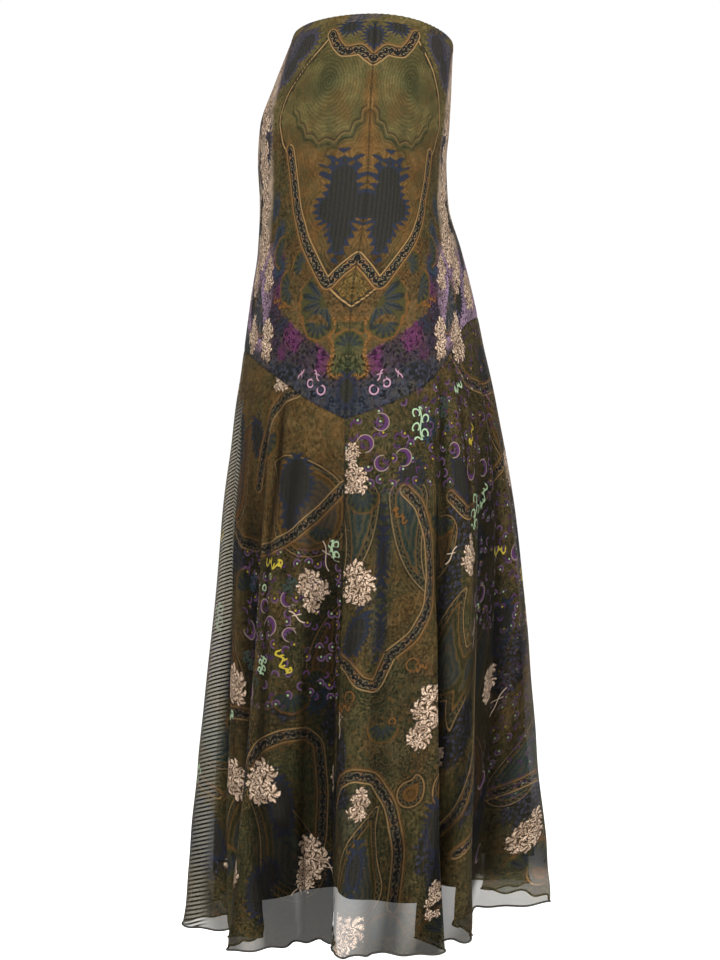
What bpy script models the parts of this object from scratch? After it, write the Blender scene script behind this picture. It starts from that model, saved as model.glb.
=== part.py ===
"""A long flared skirt in fine printed mesh, hanging in the form it has when it is worn.

A fitted hip yoke, cut to a point at each side seam, carries a flared lower skirt that falls in deep
flutes. Under both hangs a plain lining with the same flutes, a little flatter and shorter. A narrow
casing holds the waist.

Metres, +Z up. The origin is the centre of the waist opening, the front faces -Y and the wearer's left
is +X. Angles go round the body: 0 is the centre front, 90 the left side, 180 the centre back and 270
the right side. Every piece is a grid of points: a row for each height, a column for each angle.
"""

from collections import namedtuple

import bpy
import numpy as np

# Driving dimensions.
WALL = 0.0010  # every cloth wall
SEAM_GAP = 0.0005  # between two pieces that are sewn together
SIDE_SEAM_GAP = 0.0008  # between a front and a back panel, on the outer face
CASING_HEIGHT = 0.009
CASING_PROUD = 0.0004  # how far the casing stands outside the yoke
LINING_INSET = 0.0019  # from the outer cloth's face to the lining's, where both are fitted
LINING_INSET_HEM = 0.0045  # the same at the bottom of the lining
LINING_RISE = 0.052  # how much shorter the lining is than the outer skirt

# The body of the skirt, level by level: how far the cloth reaches to the back, the front and the side,
# and where the side seam runs, front to back.
Level = namedtuple("Level", "z back front half_width side_seam")
LEVELS = (
    Level(0.015, 0.083, -0.087, 0.114, -0.002),
    Level(0.000, 0.088, -0.088, 0.118, -0.002),
    Level(-0.047, 0.107, -0.087, 0.139, 0.000),
    Level(-0.100, 0.124, -0.084, 0.157, 0.003),
    Level(-0.135, 0.126, -0.081, 0.165, 0.004),
    Level(-0.180, 0.124, -0.083, 0.170, 0.006),
    Level(-0.232, 0.126, -0.097, 0.173, 0.012),
    Level(-0.285, 0.134, -0.111, 0.175, 0.021),
    Level(-0.338, 0.141, -0.122, 0.178, 0.025),
    Level(-0.417, 0.151, -0.138, 0.185, 0.029),
    Level(-0.520, 0.164, -0.157, 0.200, 0.035),
    Level(-0.625, 0.174, -0.168, 0.216, 0.039),
    Level(-0.735, 0.185, -0.176, 0.232, 0.042),
    Level(-0.850, 0.197, -0.187, 0.249, 0.045),
    Level(-0.985, 0.209, -0.199, 0.268, 0.048),
)

# The valleys between the flutes hang almost straight down inside that outline.
Hollow = namedtuple("Hollow", "z back front half_width")
HOLLOWS = (
    Hollow(-0.290, 0.134, -0.112, 0.174),
    Hollow(-0.420, 0.142, -0.122, 0.178),
    Hollow(-0.985, 0.140, -0.119, 0.188),
)

# Heights of the edges at the centre front, the side and the centre back.
Edge = namedtuple("Edge", "front side back")
WAIST = Edge(-0.0055, 0.0055, 0.0044)
HEM = Edge(-0.938, -0.951, -0.967)
YOKE_SEAM = Edge(-0.302, -0.421, -0.339)

# How the yoke seam climbs from its point at the side seam to the centre front and the centre back.
Climb = namedtuple("Climb", "way_round front back")
CLIMBS = (
    Climb(0.00, 0.00, 0.00),
    Climb(0.18, 0.13, 0.22),
    Climb(0.36, 0.31, 0.48),
    Climb(0.49, 0.54, 0.64),
    Climb(0.60, 0.76, 0.76),
    Climb(0.70, 0.88, 0.86),
    Climb(1.00, 1.00, 1.00),
)

# The flutes, a row each, in degrees: where the fold starts at the yoke seam and ends at the hem, its half
# width, and how far its crest leans over. Then shares of the way from the valleys to the outline: the
# crest, the lining's crest under it, and the floor of the valley after it.
Flute = namedtuple("Flute", "seam_angle hem_angle half_width lean crest lining_crest valley")
FLUTES = (
    Flute(20, 20, 11.5, 0.0, 0.94, 0.84, 0.05),
    Flute(44, 45, 11.5, 3.0, 0.90, 0.80, 0.00),
    Flute(66, 69, 10.0, 0.0, 1.00, 0.88, 0.10),
    Flute(87, 91, 10.0, 0.0, 0.96, 0.85, 0.00),
    Flute(115, 117, 12.0, -3.0, 0.95, 0.84, 0.06),
    Flute(148, 150, 14.5, 0.0, 1.00, 0.86, 0.00),
    Flute(183, 184, 14.5, 0.0, 1.00, 0.60, 0.00),
    Flute(208, 207, 8.0, 0.0, 0.45, 0.36, 0.00),
    Flute(238, 230, 13.0, -3.0, 1.04, 0.90, 0.00),
    Flute(267, 264, 8.0, 0.0, 0.99, 0.89, 0.70),
    Flute(288, 283, 10.0, 7.0, 1.04, 0.93, 0.00),
    Flute(311, 305, 10.5, -1.0, 0.70, 0.62, 0.00),
    Flute(349, 353, 14.0, 0.0, 1.00, 0.86, 0.04),
)
ROUNDNESS = 0.62  # 0 gives a flute the shape of a plain wave, nearer 1 a tube with a tight valley
SPREAD = 1.25  # how slowly the valleys deepen below the yoke seam; 1 is in step with the height
SEGMENTS = 8  # faces across one flute
VALLEY_FACE = 15.0  # widest face in the floor of a valley, in degrees

YOKE_ROWS = (0.0, 0.15, 0.31, 0.48, 0.65, 0.82, 1.0)
SKIRT_ROWS = (0.0, 0.10, 0.23, 0.39, 0.58, 0.79, 1.0)

Finish = namedtuple("Finish", "colour roughness")
FINISHES = {
    "casing_mesh": Finish((0.085, 0.066, 0.030), 0.70),
    "yoke_mesh": Finish((0.105, 0.078, 0.036), 0.62),
    "skirt_mesh": Finish((0.062, 0.052, 0.024), 0.62),
    "lining_knit": Finish((0.030, 0.026, 0.014), 0.75),
}


def smooth_column(x, rows, key, name):
    """A column of a table as a smooth curve that never overshoots its rows."""
    rows = sorted(rows, key=lambda row: getattr(row, key))
    xs = np.array([getattr(row, key) for row in rows])
    ys = np.array([getattr(row, name) for row in rows])
    step = np.diff(xs)
    rise = np.diff(ys) / step
    slope = np.zeros(len(xs))
    same_way = rise[:-1] * rise[1:] > 0
    total = np.where(same_way, rise[:-1] + rise[1:], 1.0)
    slope[1:-1] = np.where(same_way, 2 * rise[:-1] * rise[1:] / total, 0.0)
    slope[0], slope[-1] = rise[0], rise[-1]
    x = np.clip(x, xs[0], xs[-1])
    i = np.clip(np.searchsorted(xs, x) - 1, 0, len(step) - 1)
    u = (x - xs[i]) / step[i]
    start = (1 + 2 * u) * (1 - u) ** 2 * ys[i] + u * (1 - u) ** 2 * step[i] * slope[i]
    end = u**2 * (3 - 2 * u) * ys[i + 1] + u**2 * (u - 1) * step[i] * slope[i + 1]
    return start + end


def edge_height(edge, angle):
    """Height of a closed edge at an angle, from its heights at the front, the side and the back."""
    toward_front = np.cos(np.radians(angle))
    end = np.where(toward_front > 0, edge.front, edge.back)
    return edge.side + (end - edge.side) * toward_front**2


def side_seam_turn(z):
    """How many degrees behind the widest point of its level the side seam lies."""
    back = smooth_column(z, LEVELS, "z", "back")
    front = smooth_column(z, LEVELS, "z", "front")
    seam = smooth_column(z, LEVELS, "z", "side_seam")
    return np.degrees(np.arcsin((seam - (back + front) / 2) / ((back - front) / 2)))


def yoke_seam_height(angle):
    """The seam climbs from a point at each side seam, in its own way to the front and to the back."""
    from_front = np.abs((np.asarray(angle) + 180) % 360 - 180)
    side = 90 + side_seam_turn(YOKE_SEAM.side)
    to_front = np.clip((side - from_front) / side, 0, 1)
    to_back = np.clip((from_front - side) / (180 - side), 0, 1)
    climb_front = smooth_column(to_front, CLIMBS, "way_round", "front")
    climb_back = smooth_column(to_back, CLIMBS, "way_round", "back")
    rise_front = (YOKE_SEAM.front - YOKE_SEAM.side) * climb_front
    rise_back = (YOKE_SEAM.back - YOKE_SEAM.side) * climb_back
    return YOKE_SEAM.side + np.where(from_front < side, rise_front, rise_back)


def on_outline(angle, z, rows):
    """The point at an angle on the ellipse that a table gives for a height."""
    back = smooth_column(z, rows, "z", "back")
    front = smooth_column(z, rows, "z", "front")
    half_width = smooth_column(z, rows, "z", "half_width")
    turn = np.radians(angle)
    x = half_width * np.sin(turn)
    y = (back + front) / 2 - (back - front) / 2 * np.cos(turn)
    return np.stack([x, y, z], axis=-1)


def flute_columns(crest_name):
    """Every column round the lower skirt: its angle at the yoke seam, its angle at the hem, its wave.

    The wave is 1 on the outline and 0 in the valleys. Across a flute it is half a cosine up and half a
    cosine down, and the angle runs ahead of it by a sine, so that the flute is round and the valley
    tight. The floor of a valley is flat.
    """
    columns = []
    for i, flute in enumerate(FLUTES):
        after = FLUTES[(i + 1) % len(FLUTES)]
        crest = getattr(flute, crest_name)
        for s in np.linspace(-1, 1, SEGMENTS + 1):
            bell = 0.5 + 0.5 * np.cos(np.pi * s)
            across = flute.half_width * (s + ROUNDNESS * np.sin(np.pi * s) / np.pi)
            at_seam, at_hem = flute.seam_angle + across, flute.hem_angle + across + flute.lean * bell
            valley = flute.valley if s > 0 else FLUTES[i - 1].valley
            columns.append((at_seam, at_hem, valley + (crest - valley) * bell))
        turn = 360 if after is FLUTES[0] else 0
        gap_at_seam = after.seam_angle + turn - flute.seam_angle - flute.half_width - after.half_width
        gap_at_hem = after.hem_angle + turn - flute.hem_angle - flute.half_width - after.half_width
        faces = max(1, int(np.ceil(gap_at_hem / VALLEY_FACE)))
        for share in np.arange(1, faces) / faces:
            at_seam = flute.seam_angle + flute.half_width + gap_at_seam * share
            at_hem = flute.hem_angle + flute.half_width + gap_at_hem * share
            columns.append((at_seam, at_hem, flute.valley))
    at_seam, at_hem, wave = np.array(columns).T
    return move_onto_side_seams(at_seam, at_hem, wave)


def move_onto_side_seams(at_seam, at_hem, wave):
    """Moves the column nearest to each side seam onto it, and tells which two columns they are."""
    top_turn, hem_turn = side_seam_turn(YOKE_SEAM.side), side_seam_turn(HEM.side)
    places = []
    for side, way in ((90, 1), (270, -1)):
        top_angle, hem_angle = side + way * top_turn, side + way * hem_turn
        nearest = int(np.argmin(np.abs(at_hem - hem_angle)))
        around = slice(nearest - 1, nearest + 2)
        wave[nearest] = np.interp(hem_angle, at_hem[around], wave[around])
        at_seam[nearest], at_hem[nearest] = top_angle, hem_angle
        places.append(nearest)
    return at_seam, at_hem, wave, places


def columns_at_height(at_seam, z):
    """The same columns further up, turned with the side seams, which have their own line."""
    lean = side_seam_turn(z) - side_seam_turn(YOKE_SEAM.side)
    return at_seam + lean * np.sin(np.radians(at_seam))


def fitted_rows(at_seam, shares, bottom):
    """Rows on the plain outline, from just under the casing to a bottom edge at the yoke seam."""
    under_casing = CASING_HEIGHT + SEAM_GAP
    side_top = WAIST.side - under_casing
    rows = []
    for share in shares:
        angle = columns_at_height(at_seam, side_top + (YOKE_SEAM.side - side_top) * share)
        top = edge_height(WAIST, angle) - under_casing
        rows.append(on_outline(angle, top + (bottom - top) * share, LEVELS))
    return np.array(rows)


def fluted_rows(at_seam, at_hem, wave, shares, top, bottom):
    """Rows from the yoke seam, where share is 0, to the height where the outer skirt ends, at 1."""
    rows = []
    for share in shares:
        angle = at_seam + (at_hem - at_seam) * share
        z = top + (bottom - top) * share
        outline = on_outline(angle, z, LEVELS)
        depth = np.asarray(share ** (1 / SPREAD))[..., None]
        valley = outline + (on_outline(angle, z, HOLLOWS) - outline) * depth
        rows.append(valley + (outline - valley) * wave[:, None])
    return np.array(rows)


def outward(ring):
    """Unit normals of a closed ring of points, each taken between the faces on both sides of it."""
    ahead = np.roll(ring, -1, axis=1) - ring
    ahead /= np.linalg.norm(ahead, axis=-1, keepdims=True)
    along = ahead + np.roll(ahead, 1, axis=1)
    normal = np.cross(np.gradient(ring, axis=0), along)
    return normal / np.linalg.norm(normal, axis=-1, keepdims=True)


def moved_in(panel):
    """A panel with its two upright edges moved half the gap towards its middle."""
    panel = panel.copy()
    for edge, beside in ((0, 1), (-1, -2)):
        way = panel[:, beside] - panel[:, edge]
        panel[:, edge] += way / np.linalg.norm(way, axis=-1, keepdims=True) * SIDE_SEAM_GAP / 2
    return panel


def cloth_material(name):
    finish = FINISHES[name]
    material = bpy.data.materials.get(name)
    if material is None:
        material = bpy.data.materials.new(name)
        material.use_nodes = True
        shader = material.node_tree.nodes["Principled BSDF"]
        shader.inputs["Base Color"].default_value = (*finish.colour, 1.0)
        shader.inputs["Roughness"].default_value = finish.roughness
        shader.inputs["Metallic"].default_value = 0.0
    return material


def add_cloth(name, points, finish, closed=False, thickness=WALL):
    """A wall of cloth: the grid of its outer face, thickened inwards. A closed grid joins up as a tube."""
    rows, columns = points.shape[:2]
    index = np.arange(rows * columns).reshape(rows, columns)
    if closed:
        index = np.concatenate([index, index[:, :1]], axis=1)
    corners = (index[:-1, :-1], index[1:, :-1], index[1:, 1:], index[:-1, 1:])
    faces = np.stack([corner.ravel() for corner in corners], axis=1)
    mesh = bpy.data.meshes.new(name)
    mesh.from_pydata(points.reshape(-1, 3).tolist(), [], faces.tolist())
    mesh.materials.append(cloth_material(finish))
    mesh.shade_smooth()
    cloth = bpy.data.objects.new(name, mesh)
    garment.objects.link(cloth)
    cloth.parent = waist
    # Split into triangles first, so that both faces of the wall bend along the same lines.
    cloth.modifiers.new("bends", "TRIANGULATE").quad_method = "FIXED"
    wall = cloth.modifiers.new("wall", "SOLIDIFY")
    wall.thickness = thickness
    wall.offset = -1.0
    wall.use_even_offset = True


def add_panels(name, ring, left, right, finish):
    """The front and the back panel of a ring that is sewn at two of its columns."""
    front = np.take(ring, range(right, left + ring.shape[1] + 1), axis=1, mode="wrap")
    add_cloth(f"{name}_front", moved_in(front), finish)
    add_cloth(f"{name}_back", moved_in(ring[:, left : right + 1]), finish)


def build_casing():
    """The turned top edge with its elastic, one closed band that caps the yoke and the lining."""
    at_seam, _, _, _ = flute_columns("crest")
    angle = columns_at_height(at_seam, WAIST.side)
    top = edge_height(WAIST, angle)
    ring = np.array([on_outline(angle, z, LEVELS) for z in (top, top - CASING_HEIGHT)])
    ring += outward(ring) * CASING_PROUD
    thickness = CASING_PROUD + LINING_INSET + WALL
    add_cloth("waist_casing", ring, "casing_mesh", closed=True, thickness=thickness)


def build_yoke():
    at_seam, _, _, (left, right) = flute_columns("crest")
    ring = fitted_rows(at_seam, YOKE_ROWS, yoke_seam_height(at_seam) + SEAM_GAP / 2)
    add_panels("yoke", ring, left, right, "yoke_mesh")


def build_skirt():
    at_seam, at_hem, wave, (left, right) = flute_columns("crest")
    top = yoke_seam_height(at_seam) - SEAM_GAP / 2
    ring = fluted_rows(at_seam, at_hem, wave, SKIRT_ROWS, top, edge_height(HEM, at_hem))
    add_panels("skirt", ring, left, right, "skirt_mesh")


def build_lining():
    """The lining is fitted down to the yoke seam and fluted below it, always inside the outer cloth."""
    at_seam, at_hem, wave, (left, right) = flute_columns("lining_crest")
    seam, hem = yoke_seam_height(at_seam), edge_height(HEM, at_hem)
    last_row = 1 - LINING_RISE / (seam - hem)
    fitted = fitted_rows(at_seam, YOKE_ROWS[:-1], seam)
    fluted = fluted_rows(at_seam, at_hem, wave, (*SKIRT_ROWS[:-1], last_row), seam, hem)
    ring = np.concatenate([fitted, fluted])
    way_down = np.concatenate([np.zeros(len(fitted)), SKIRT_ROWS])
    inset = LINING_INSET + (LINING_INSET_HEM - LINING_INSET) * way_down
    ring -= outward(ring) * inset[:, None, None]
    add_panels("lining", ring, left, right, "lining_knit")


for leftover in list(bpy.data.objects):
    bpy.data.objects.remove(leftover, do_unlink=True)
garment = bpy.data.collections.new("flared_skirt")
bpy.context.scene.collection.children.link(garment)
waist = bpy.data.objects.new("waist_centre", None)
garment.objects.link(waist)

build_casing()
build_yoke()
build_skirt()
build_lining()
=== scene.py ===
"""Looks of a long flared skirt in fine printed mesh over a plain lining.

The cloth is worked out as grids of points on the same form as the solids: a fitted hip yoke cut to a
point at each side seam, a lower skirt that falls in deep flutes, a shorter lining inside. Every grid
also knows where it lies on the flat cloth, in millimetres forward or back of the side seam and up, and
the print is drawn there: the grid stores distances to the large motifs and the place inside the nearest
small one, and the material turns them into crisp motifs, lines and tracery.

Metres, +Z up, front at -Y, the wearer's left at +X. Print distances are millimetres of cloth.
"""

import math
from collections import namedtuple

import bpy
import numpy as np
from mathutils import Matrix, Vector


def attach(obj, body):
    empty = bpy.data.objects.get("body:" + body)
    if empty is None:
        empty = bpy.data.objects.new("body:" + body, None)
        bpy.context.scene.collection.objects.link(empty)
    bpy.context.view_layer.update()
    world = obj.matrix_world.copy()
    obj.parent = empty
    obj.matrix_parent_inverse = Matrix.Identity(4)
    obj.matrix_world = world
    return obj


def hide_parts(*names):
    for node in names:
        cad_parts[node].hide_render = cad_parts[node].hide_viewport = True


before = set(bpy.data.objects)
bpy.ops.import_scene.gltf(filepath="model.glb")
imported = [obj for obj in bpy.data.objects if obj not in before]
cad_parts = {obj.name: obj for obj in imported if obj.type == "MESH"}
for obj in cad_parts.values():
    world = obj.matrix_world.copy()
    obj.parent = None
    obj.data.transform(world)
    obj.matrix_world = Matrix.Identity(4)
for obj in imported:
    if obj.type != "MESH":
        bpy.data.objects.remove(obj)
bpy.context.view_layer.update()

# ---------------------------------------------------------------------------------------------------
# The form, as in the solids.

CASING_HEIGHT = 0.009
SEAM_GAP = 0.0005
TUCK = 0.0012  # how far the cloth reaches up inside the casing
CASING_PROUD = 0.0004
CASING_DEPTH = 0.0033
LINING_INSET = 0.0019
LINING_INSET_HEM = 0.0045
LINING_RISE = 0.052

Level = namedtuple("Level", "z back front half_width side_seam")
LEVELS = (
    Level(0.015, 0.083, -0.087, 0.114, -0.002),
    Level(0.000, 0.088, -0.088, 0.118, -0.002),
    Level(-0.047, 0.107, -0.087, 0.139, 0.000),
    Level(-0.100, 0.124, -0.084, 0.157, 0.003),
    Level(-0.135, 0.126, -0.081, 0.165, 0.004),
    Level(-0.180, 0.124, -0.083, 0.170, 0.006),
    Level(-0.232, 0.126, -0.097, 0.173, 0.012),
    Level(-0.285, 0.134, -0.111, 0.175, 0.021),
    Level(-0.338, 0.141, -0.122, 0.178, 0.025),
    Level(-0.417, 0.151, -0.138, 0.185, 0.029),
    Level(-0.520, 0.164, -0.157, 0.200, 0.035),
    Level(-0.625, 0.174, -0.168, 0.216, 0.039),
    Level(-0.735, 0.185, -0.176, 0.232, 0.042),
    Level(-0.850, 0.197, -0.187, 0.249, 0.045),
    Level(-0.985, 0.209, -0.199, 0.268, 0.048),
)
Hollow = namedtuple("Hollow", "z back front half_width")
HOLLOWS = (
    Hollow(-0.290, 0.134, -0.112, 0.174),
    Hollow(-0.420, 0.142, -0.122, 0.178),
    Hollow(-0.985, 0.140, -0.119, 0.188),
)
Edge = namedtuple("Edge", "front side back")
WAIST = Edge(-0.0055, 0.0055, 0.0044)
HEM = Edge(-0.938, -0.951, -0.967)
YOKE_SEAM = Edge(-0.302, -0.421, -0.339)
Climb = namedtuple("Climb", "way_round front back")
CLIMBS = (
    Climb(0.00, 0.00, 0.00),
    Climb(0.18, 0.13, 0.22),
    Climb(0.36, 0.31, 0.48),
    Climb(0.49, 0.54, 0.64),
    Climb(0.60, 0.76, 0.76),
    Climb(0.70, 0.88, 0.86),
    Climb(1.00, 1.00, 1.00),
)
Flute = namedtuple("Flute", "seam_angle hem_angle half_width lean crest lining_crest valley")
FLUTES = (
    Flute(20, 20, 11.5, 0.0, 0.94, 0.84, 0.05),
    Flute(44, 45, 11.5, 3.0, 0.90, 0.80, 0.00),
    Flute(66, 69, 10.0, 0.0, 1.00, 0.88, 0.10),
    Flute(87, 91, 10.0, 0.0, 0.96, 0.85, 0.00),
    Flute(115, 117, 12.0, -3.0, 0.95, 0.84, 0.06),
    Flute(148, 150, 14.5, 0.0, 1.00, 0.86, 0.00),
    Flute(183, 184, 14.5, 0.0, 1.00, 0.60, 0.00),
    Flute(208, 207, 8.0, 0.0, 0.45, 0.36, 0.00),
    Flute(238, 230, 13.0, -3.0, 1.04, 0.90, 0.00),
    Flute(267, 264, 8.0, 0.0, 0.99, 0.89, 0.70),
    Flute(288, 283, 10.0, 7.0, 1.04, 0.93, 0.00),
    Flute(311, 305, 10.5, -1.0, 0.70, 0.62, 0.00),
    Flute(349, 353, 14.0, 0.0, 1.00, 0.86, 0.04),
)
ROUNDNESS = 0.62
SPREAD = 1.25

# How fine the grids are: columns round one panel and rows down it; for the casing, columns all round
# and points round the band.
YOKE_GRID = (300, 190)
SKIRT_GRID = (420, 232)
LINING_GRID = (190, 130)
CASING_GRID = (1400, 25)


def smooth_column(x, rows, key, name):
    """A column of a table as a smooth curve that never overshoots its rows."""
    rows = sorted(rows, key=lambda row: getattr(row, key))
    xs = np.array([getattr(row, key) for row in rows])
    ys = np.array([getattr(row, name) for row in rows])
    step = np.diff(xs)
    rise = np.diff(ys) / step
    slope = np.zeros(len(xs))
    same_way = rise[:-1] * rise[1:] > 0
    total = np.where(same_way, rise[:-1] + rise[1:], 1.0)
    slope[1:-1] = np.where(same_way, 2 * rise[:-1] * rise[1:] / total, 0.0)
    slope[0], slope[-1] = rise[0], rise[-1]
    x = np.clip(x, xs[0], xs[-1])
    i = np.clip(np.searchsorted(xs, x) - 1, 0, len(step) - 1)
    u = (x - xs[i]) / step[i]
    start = (1 + 2 * u) * (1 - u) ** 2 * ys[i] + u * (1 - u) ** 2 * step[i] * slope[i]
    end = u**2 * (3 - 2 * u) * ys[i + 1] + u**2 * (u - 1) * step[i] * slope[i + 1]
    return start + end


def edge_height(edge, angle):
    """Height of a closed edge at an angle, from its heights at the front, the side and the back."""
    toward_front = np.cos(np.radians(angle))
    end = np.where(toward_front > 0, edge.front, edge.back)
    return edge.side + (end - edge.side) * toward_front**2


def side_seam_turn(z):
    """How many degrees behind the widest point of its level the side seam lies."""
    back = smooth_column(z, LEVELS, "z", "back")
    front = smooth_column(z, LEVELS, "z", "front")
    seam = smooth_column(z, LEVELS, "z", "side_seam")
    return np.degrees(np.arcsin((seam - (back + front) / 2) / ((back - front) / 2)))


def yoke_seam_height(angle):
    """The seam climbs from a point at each side seam, in its own way to the front and to the back."""
    from_front = np.abs((np.asarray(angle) + 180) % 360 - 180)
    side = 90 + side_seam_turn(YOKE_SEAM.side)
    to_front = np.clip((side - from_front) / side, 0, 1)
    to_back = np.clip((from_front - side) / (180 - side), 0, 1)
    climb_front = smooth_column(to_front, CLIMBS, "way_round", "front")
    climb_back = smooth_column(to_back, CLIMBS, "way_round", "back")
    rise_front = (YOKE_SEAM.front - YOKE_SEAM.side) * climb_front
    rise_back = (YOKE_SEAM.back - YOKE_SEAM.side) * climb_back
    return YOKE_SEAM.side + np.where(from_front < side, rise_front, rise_back)


def on_outline(angle, z, rows):
    """The point at an angle on the ellipse that a table gives for a height."""
    back = smooth_column(z, rows, "z", "back")
    front = smooth_column(z, rows, "z", "front")
    half_width = smooth_column(z, rows, "z", "half_width")
    turn = np.radians(angle)
    x = half_width * np.sin(turn)
    y = (back + front) / 2 - (back - front) / 2 * np.cos(turn)
    return np.stack([x, y, z], axis=-1)


SIDE_TURN_TOP = float(side_seam_turn(YOKE_SEAM.side))
SIDE_TURN_HEM = float(side_seam_turn(HEM.side))
LEFT_SEAM = 90 + SIDE_TURN_HEM
RIGHT_SEAM = 270 - SIDE_TURN_HEM


def fine_flutes(crest_name, samples=40):
    """Angle at the yoke seam, angle at the hem and wave, closely spaced, for three turns round the skirt.

    Across a flute the wave is half a cosine up and half a cosine down, and the angle runs ahead of it by
    a sine, so that the flute is round and the valley tight. Near each side seam the upper angles are
    eased onto the seam's own.
    """
    at_seam, at_hem, wave = [], [], []
    for i, flute in enumerate(FLUTES):
        s = np.linspace(-1, 1, samples + 1)
        bell = 0.5 + 0.5 * np.cos(np.pi * s)
        across = flute.half_width * (s + ROUNDNESS * np.sin(np.pi * s) / np.pi)
        valley = np.where(s > 0, flute.valley, FLUTES[i - 1].valley)
        at_seam.append(flute.seam_angle + across)
        at_hem.append(flute.hem_angle + across + flute.lean * bell)
        wave.append(valley + (getattr(flute, crest_name) - valley) * bell)
    at_seam, at_hem, wave = (np.concatenate(part) for part in (at_seam, at_hem, wave))
    for hem_angle, seam_angle in ((LEFT_SEAM, 90 + SIDE_TURN_TOP), (RIGHT_SEAM, 270 - SIDE_TURN_TOP)):
        shift = seam_angle - np.interp(hem_angle, at_hem, at_seam)
        at_seam = at_seam + shift * np.clip(1 - np.abs(at_hem - hem_angle) / 8, 0, 1)
    turn = np.array([-360, 0, 360])[:, None]
    return (at_seam + turn).ravel(), (at_hem + turn).ravel(), np.tile(wave, 3)


def hang(hem_angle, crest_name="crest"):
    """The angle at the yoke seam and the folds' wave, for angles at the hem."""
    at_seam, at_hem, wave = fine_flutes(crest_name)
    return np.interp(hem_angle, at_hem, at_seam), np.interp(hem_angle, at_hem, wave)


def spaced_columns(start, end, count):
    """Hem angles from start to end, evenly spaced along the folded cloth half way down the flutes."""
    fine = np.linspace(start, end, 4001)
    ring = skirt_points(fine, np.array([0.55]), "crest")[0]
    run = np.concatenate([[0], np.cumsum(np.linalg.norm(np.diff(ring, axis=0), axis=-1))])
    return np.interp(np.linspace(0, run[-1], count), run, fine)


def yoke_points(hem_angle, shares):
    """Rows of the fitted part, from just under the casing to the yoke seam."""
    at_seam = hang(hem_angle)[0]
    side_top = WAIST.side - CASING_HEIGHT - SEAM_GAP
    bottom = yoke_seam_height(at_seam)
    rows = []
    for share in shares:
        lean = side_seam_turn(side_top + (YOKE_SEAM.side - side_top) * share) - SIDE_TURN_TOP
        angle = at_seam + lean * np.sin(np.radians(at_seam))
        top = edge_height(WAIST, angle) - CASING_HEIGHT + TUCK
        rows.append(on_outline(angle, top + (bottom - top) * share, LEVELS))
    return np.array(rows)


def skirt_points(hem_angle, shares, crest_name):
    """Rows of the fluted part, from the yoke seam to the hem."""
    at_seam, wave = hang(hem_angle, crest_name)
    top = yoke_seam_height(at_seam)
    bottom = edge_height(HEM, hem_angle)
    rows = []
    for share in shares:
        angle = at_seam + (hem_angle - at_seam) * share
        z = top + (bottom - top) * share
        outline = on_outline(angle, z, LEVELS)
        depth = np.asarray(share ** (1 / SPREAD))[..., None]
        valley = outline + (on_outline(angle, z, HOLLOWS) - outline) * depth
        rows.append(valley + (outline - valley) * wave[:, None])
    return np.array(rows)


def outward(grid):
    """Unit normals of a grid of points: the cross product of its two directions."""
    down, along = np.gradient(grid, axis=0), np.gradient(grid, axis=1)
    normal = np.cross(down, along)
    return normal / np.maximum(np.linalg.norm(normal, axis=-1, keepdims=True), 1e-12)


def smooth_noise(x, y, seed, octaves=2):
    """Soft uneven waves: a sum of sines whose directions, lengths and starts come from the seed."""
    rng = np.random.default_rng(seed)
    total = np.zeros(np.broadcast(x, y).shape)
    for octave in range(octaves):
        for _ in range(5):
            way = rng.uniform(0, 2 * np.pi)
            size = (1.0 + octave) * rng.uniform(0.7, 1.4)
            start = rng.uniform(0, 2 * np.pi)
            total += np.sin(size * (x * np.cos(way) + y * np.sin(way)) + start) / (1 + octave)
    return total / 5


def step(edge0, edge1, x):
    """0 below the first edge, 1 above the second, smooth between them."""
    t = np.clip((x - edge0) / (edge1 - edge0), 0, 1)
    return t * t * (3 - 2 * t)


# ---------------------------------------------------------------------------------------------------
# Where the cloth lies flat: u, millimetres from the side seam, and v, millimetres up from the waist.


def flat_place(grid):
    """Distance along each row from its first column, and the height, both in millimetres."""
    run = np.linalg.norm(np.diff(grid, axis=1), axis=-1)
    along = np.concatenate([np.zeros((len(grid), 1)), np.cumsum(run, axis=1)], axis=1)
    return along * 1000, grid[..., 2] * 1000


def mirrored_place(grid):
    """The same for a panel, whose print runs inwards from both its side seams."""
    along, up = flat_place(grid)
    width = along[:, -1:]
    return np.minimum(along, width - along), up


# ---------------------------------------------------------------------------------------------------
# The print. Every motif is drawn by a formula, at a place, in a size and a turn of its own.


def linear(red, green, blue):
    """A colour as it looks, 0 to 255, as linear light."""
    value = np.array([red, green, blue]) / 255
    return np.where(value <= 0.04045, value / 12.92, ((value + 0.055) / 1.055) ** 2.4)


INK = {
    "olive": (88, 80, 48), "deep_olive": (63, 58, 33), "dark_olive": (46, 45, 28), "moss": (56, 61, 38),
    "brown": (92, 69, 38), "dark_brown": (64, 51, 32), "rust": (106, 72, 36), "ochre": (112, 88, 44),
    "gold": (140, 112, 74), "navy": (40, 45, 58), "indigo": (40, 42, 54), "slate": (64, 62, 74),
    "blue": (44, 56, 70), "teal": (52, 66, 58), "violet": (43, 36, 52), "magenta": (74, 31, 68),
    "plum": (66, 38, 72), "mauve": (136, 112, 134), "pink": (160, 124, 140), "beige": (160, 142, 118),
    "cream": (196, 172, 150), "mint": (164, 188, 150), "yellow": (178, 158, 54), "black": (26, 26, 24),
}
INK = {name: linear(*tone) for name, tone in INK.items()}


def vectors(*parts):
    """Three numbers over a grid as one array."""
    return np.stack(np.broadcast_arrays(*parts), axis=-1)


def turned(x, y, degrees):
    """The same place along axes turned by some degrees."""
    c, s = math.cos(math.radians(degrees)), math.sin(math.radians(degrees))
    return x * c + y * s, y * c - x * s


def index_of(near, closer):
    """The grid's indices of those near points that are closer."""
    return tuple(axis[closer] for axis in np.nonzero(near))


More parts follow.
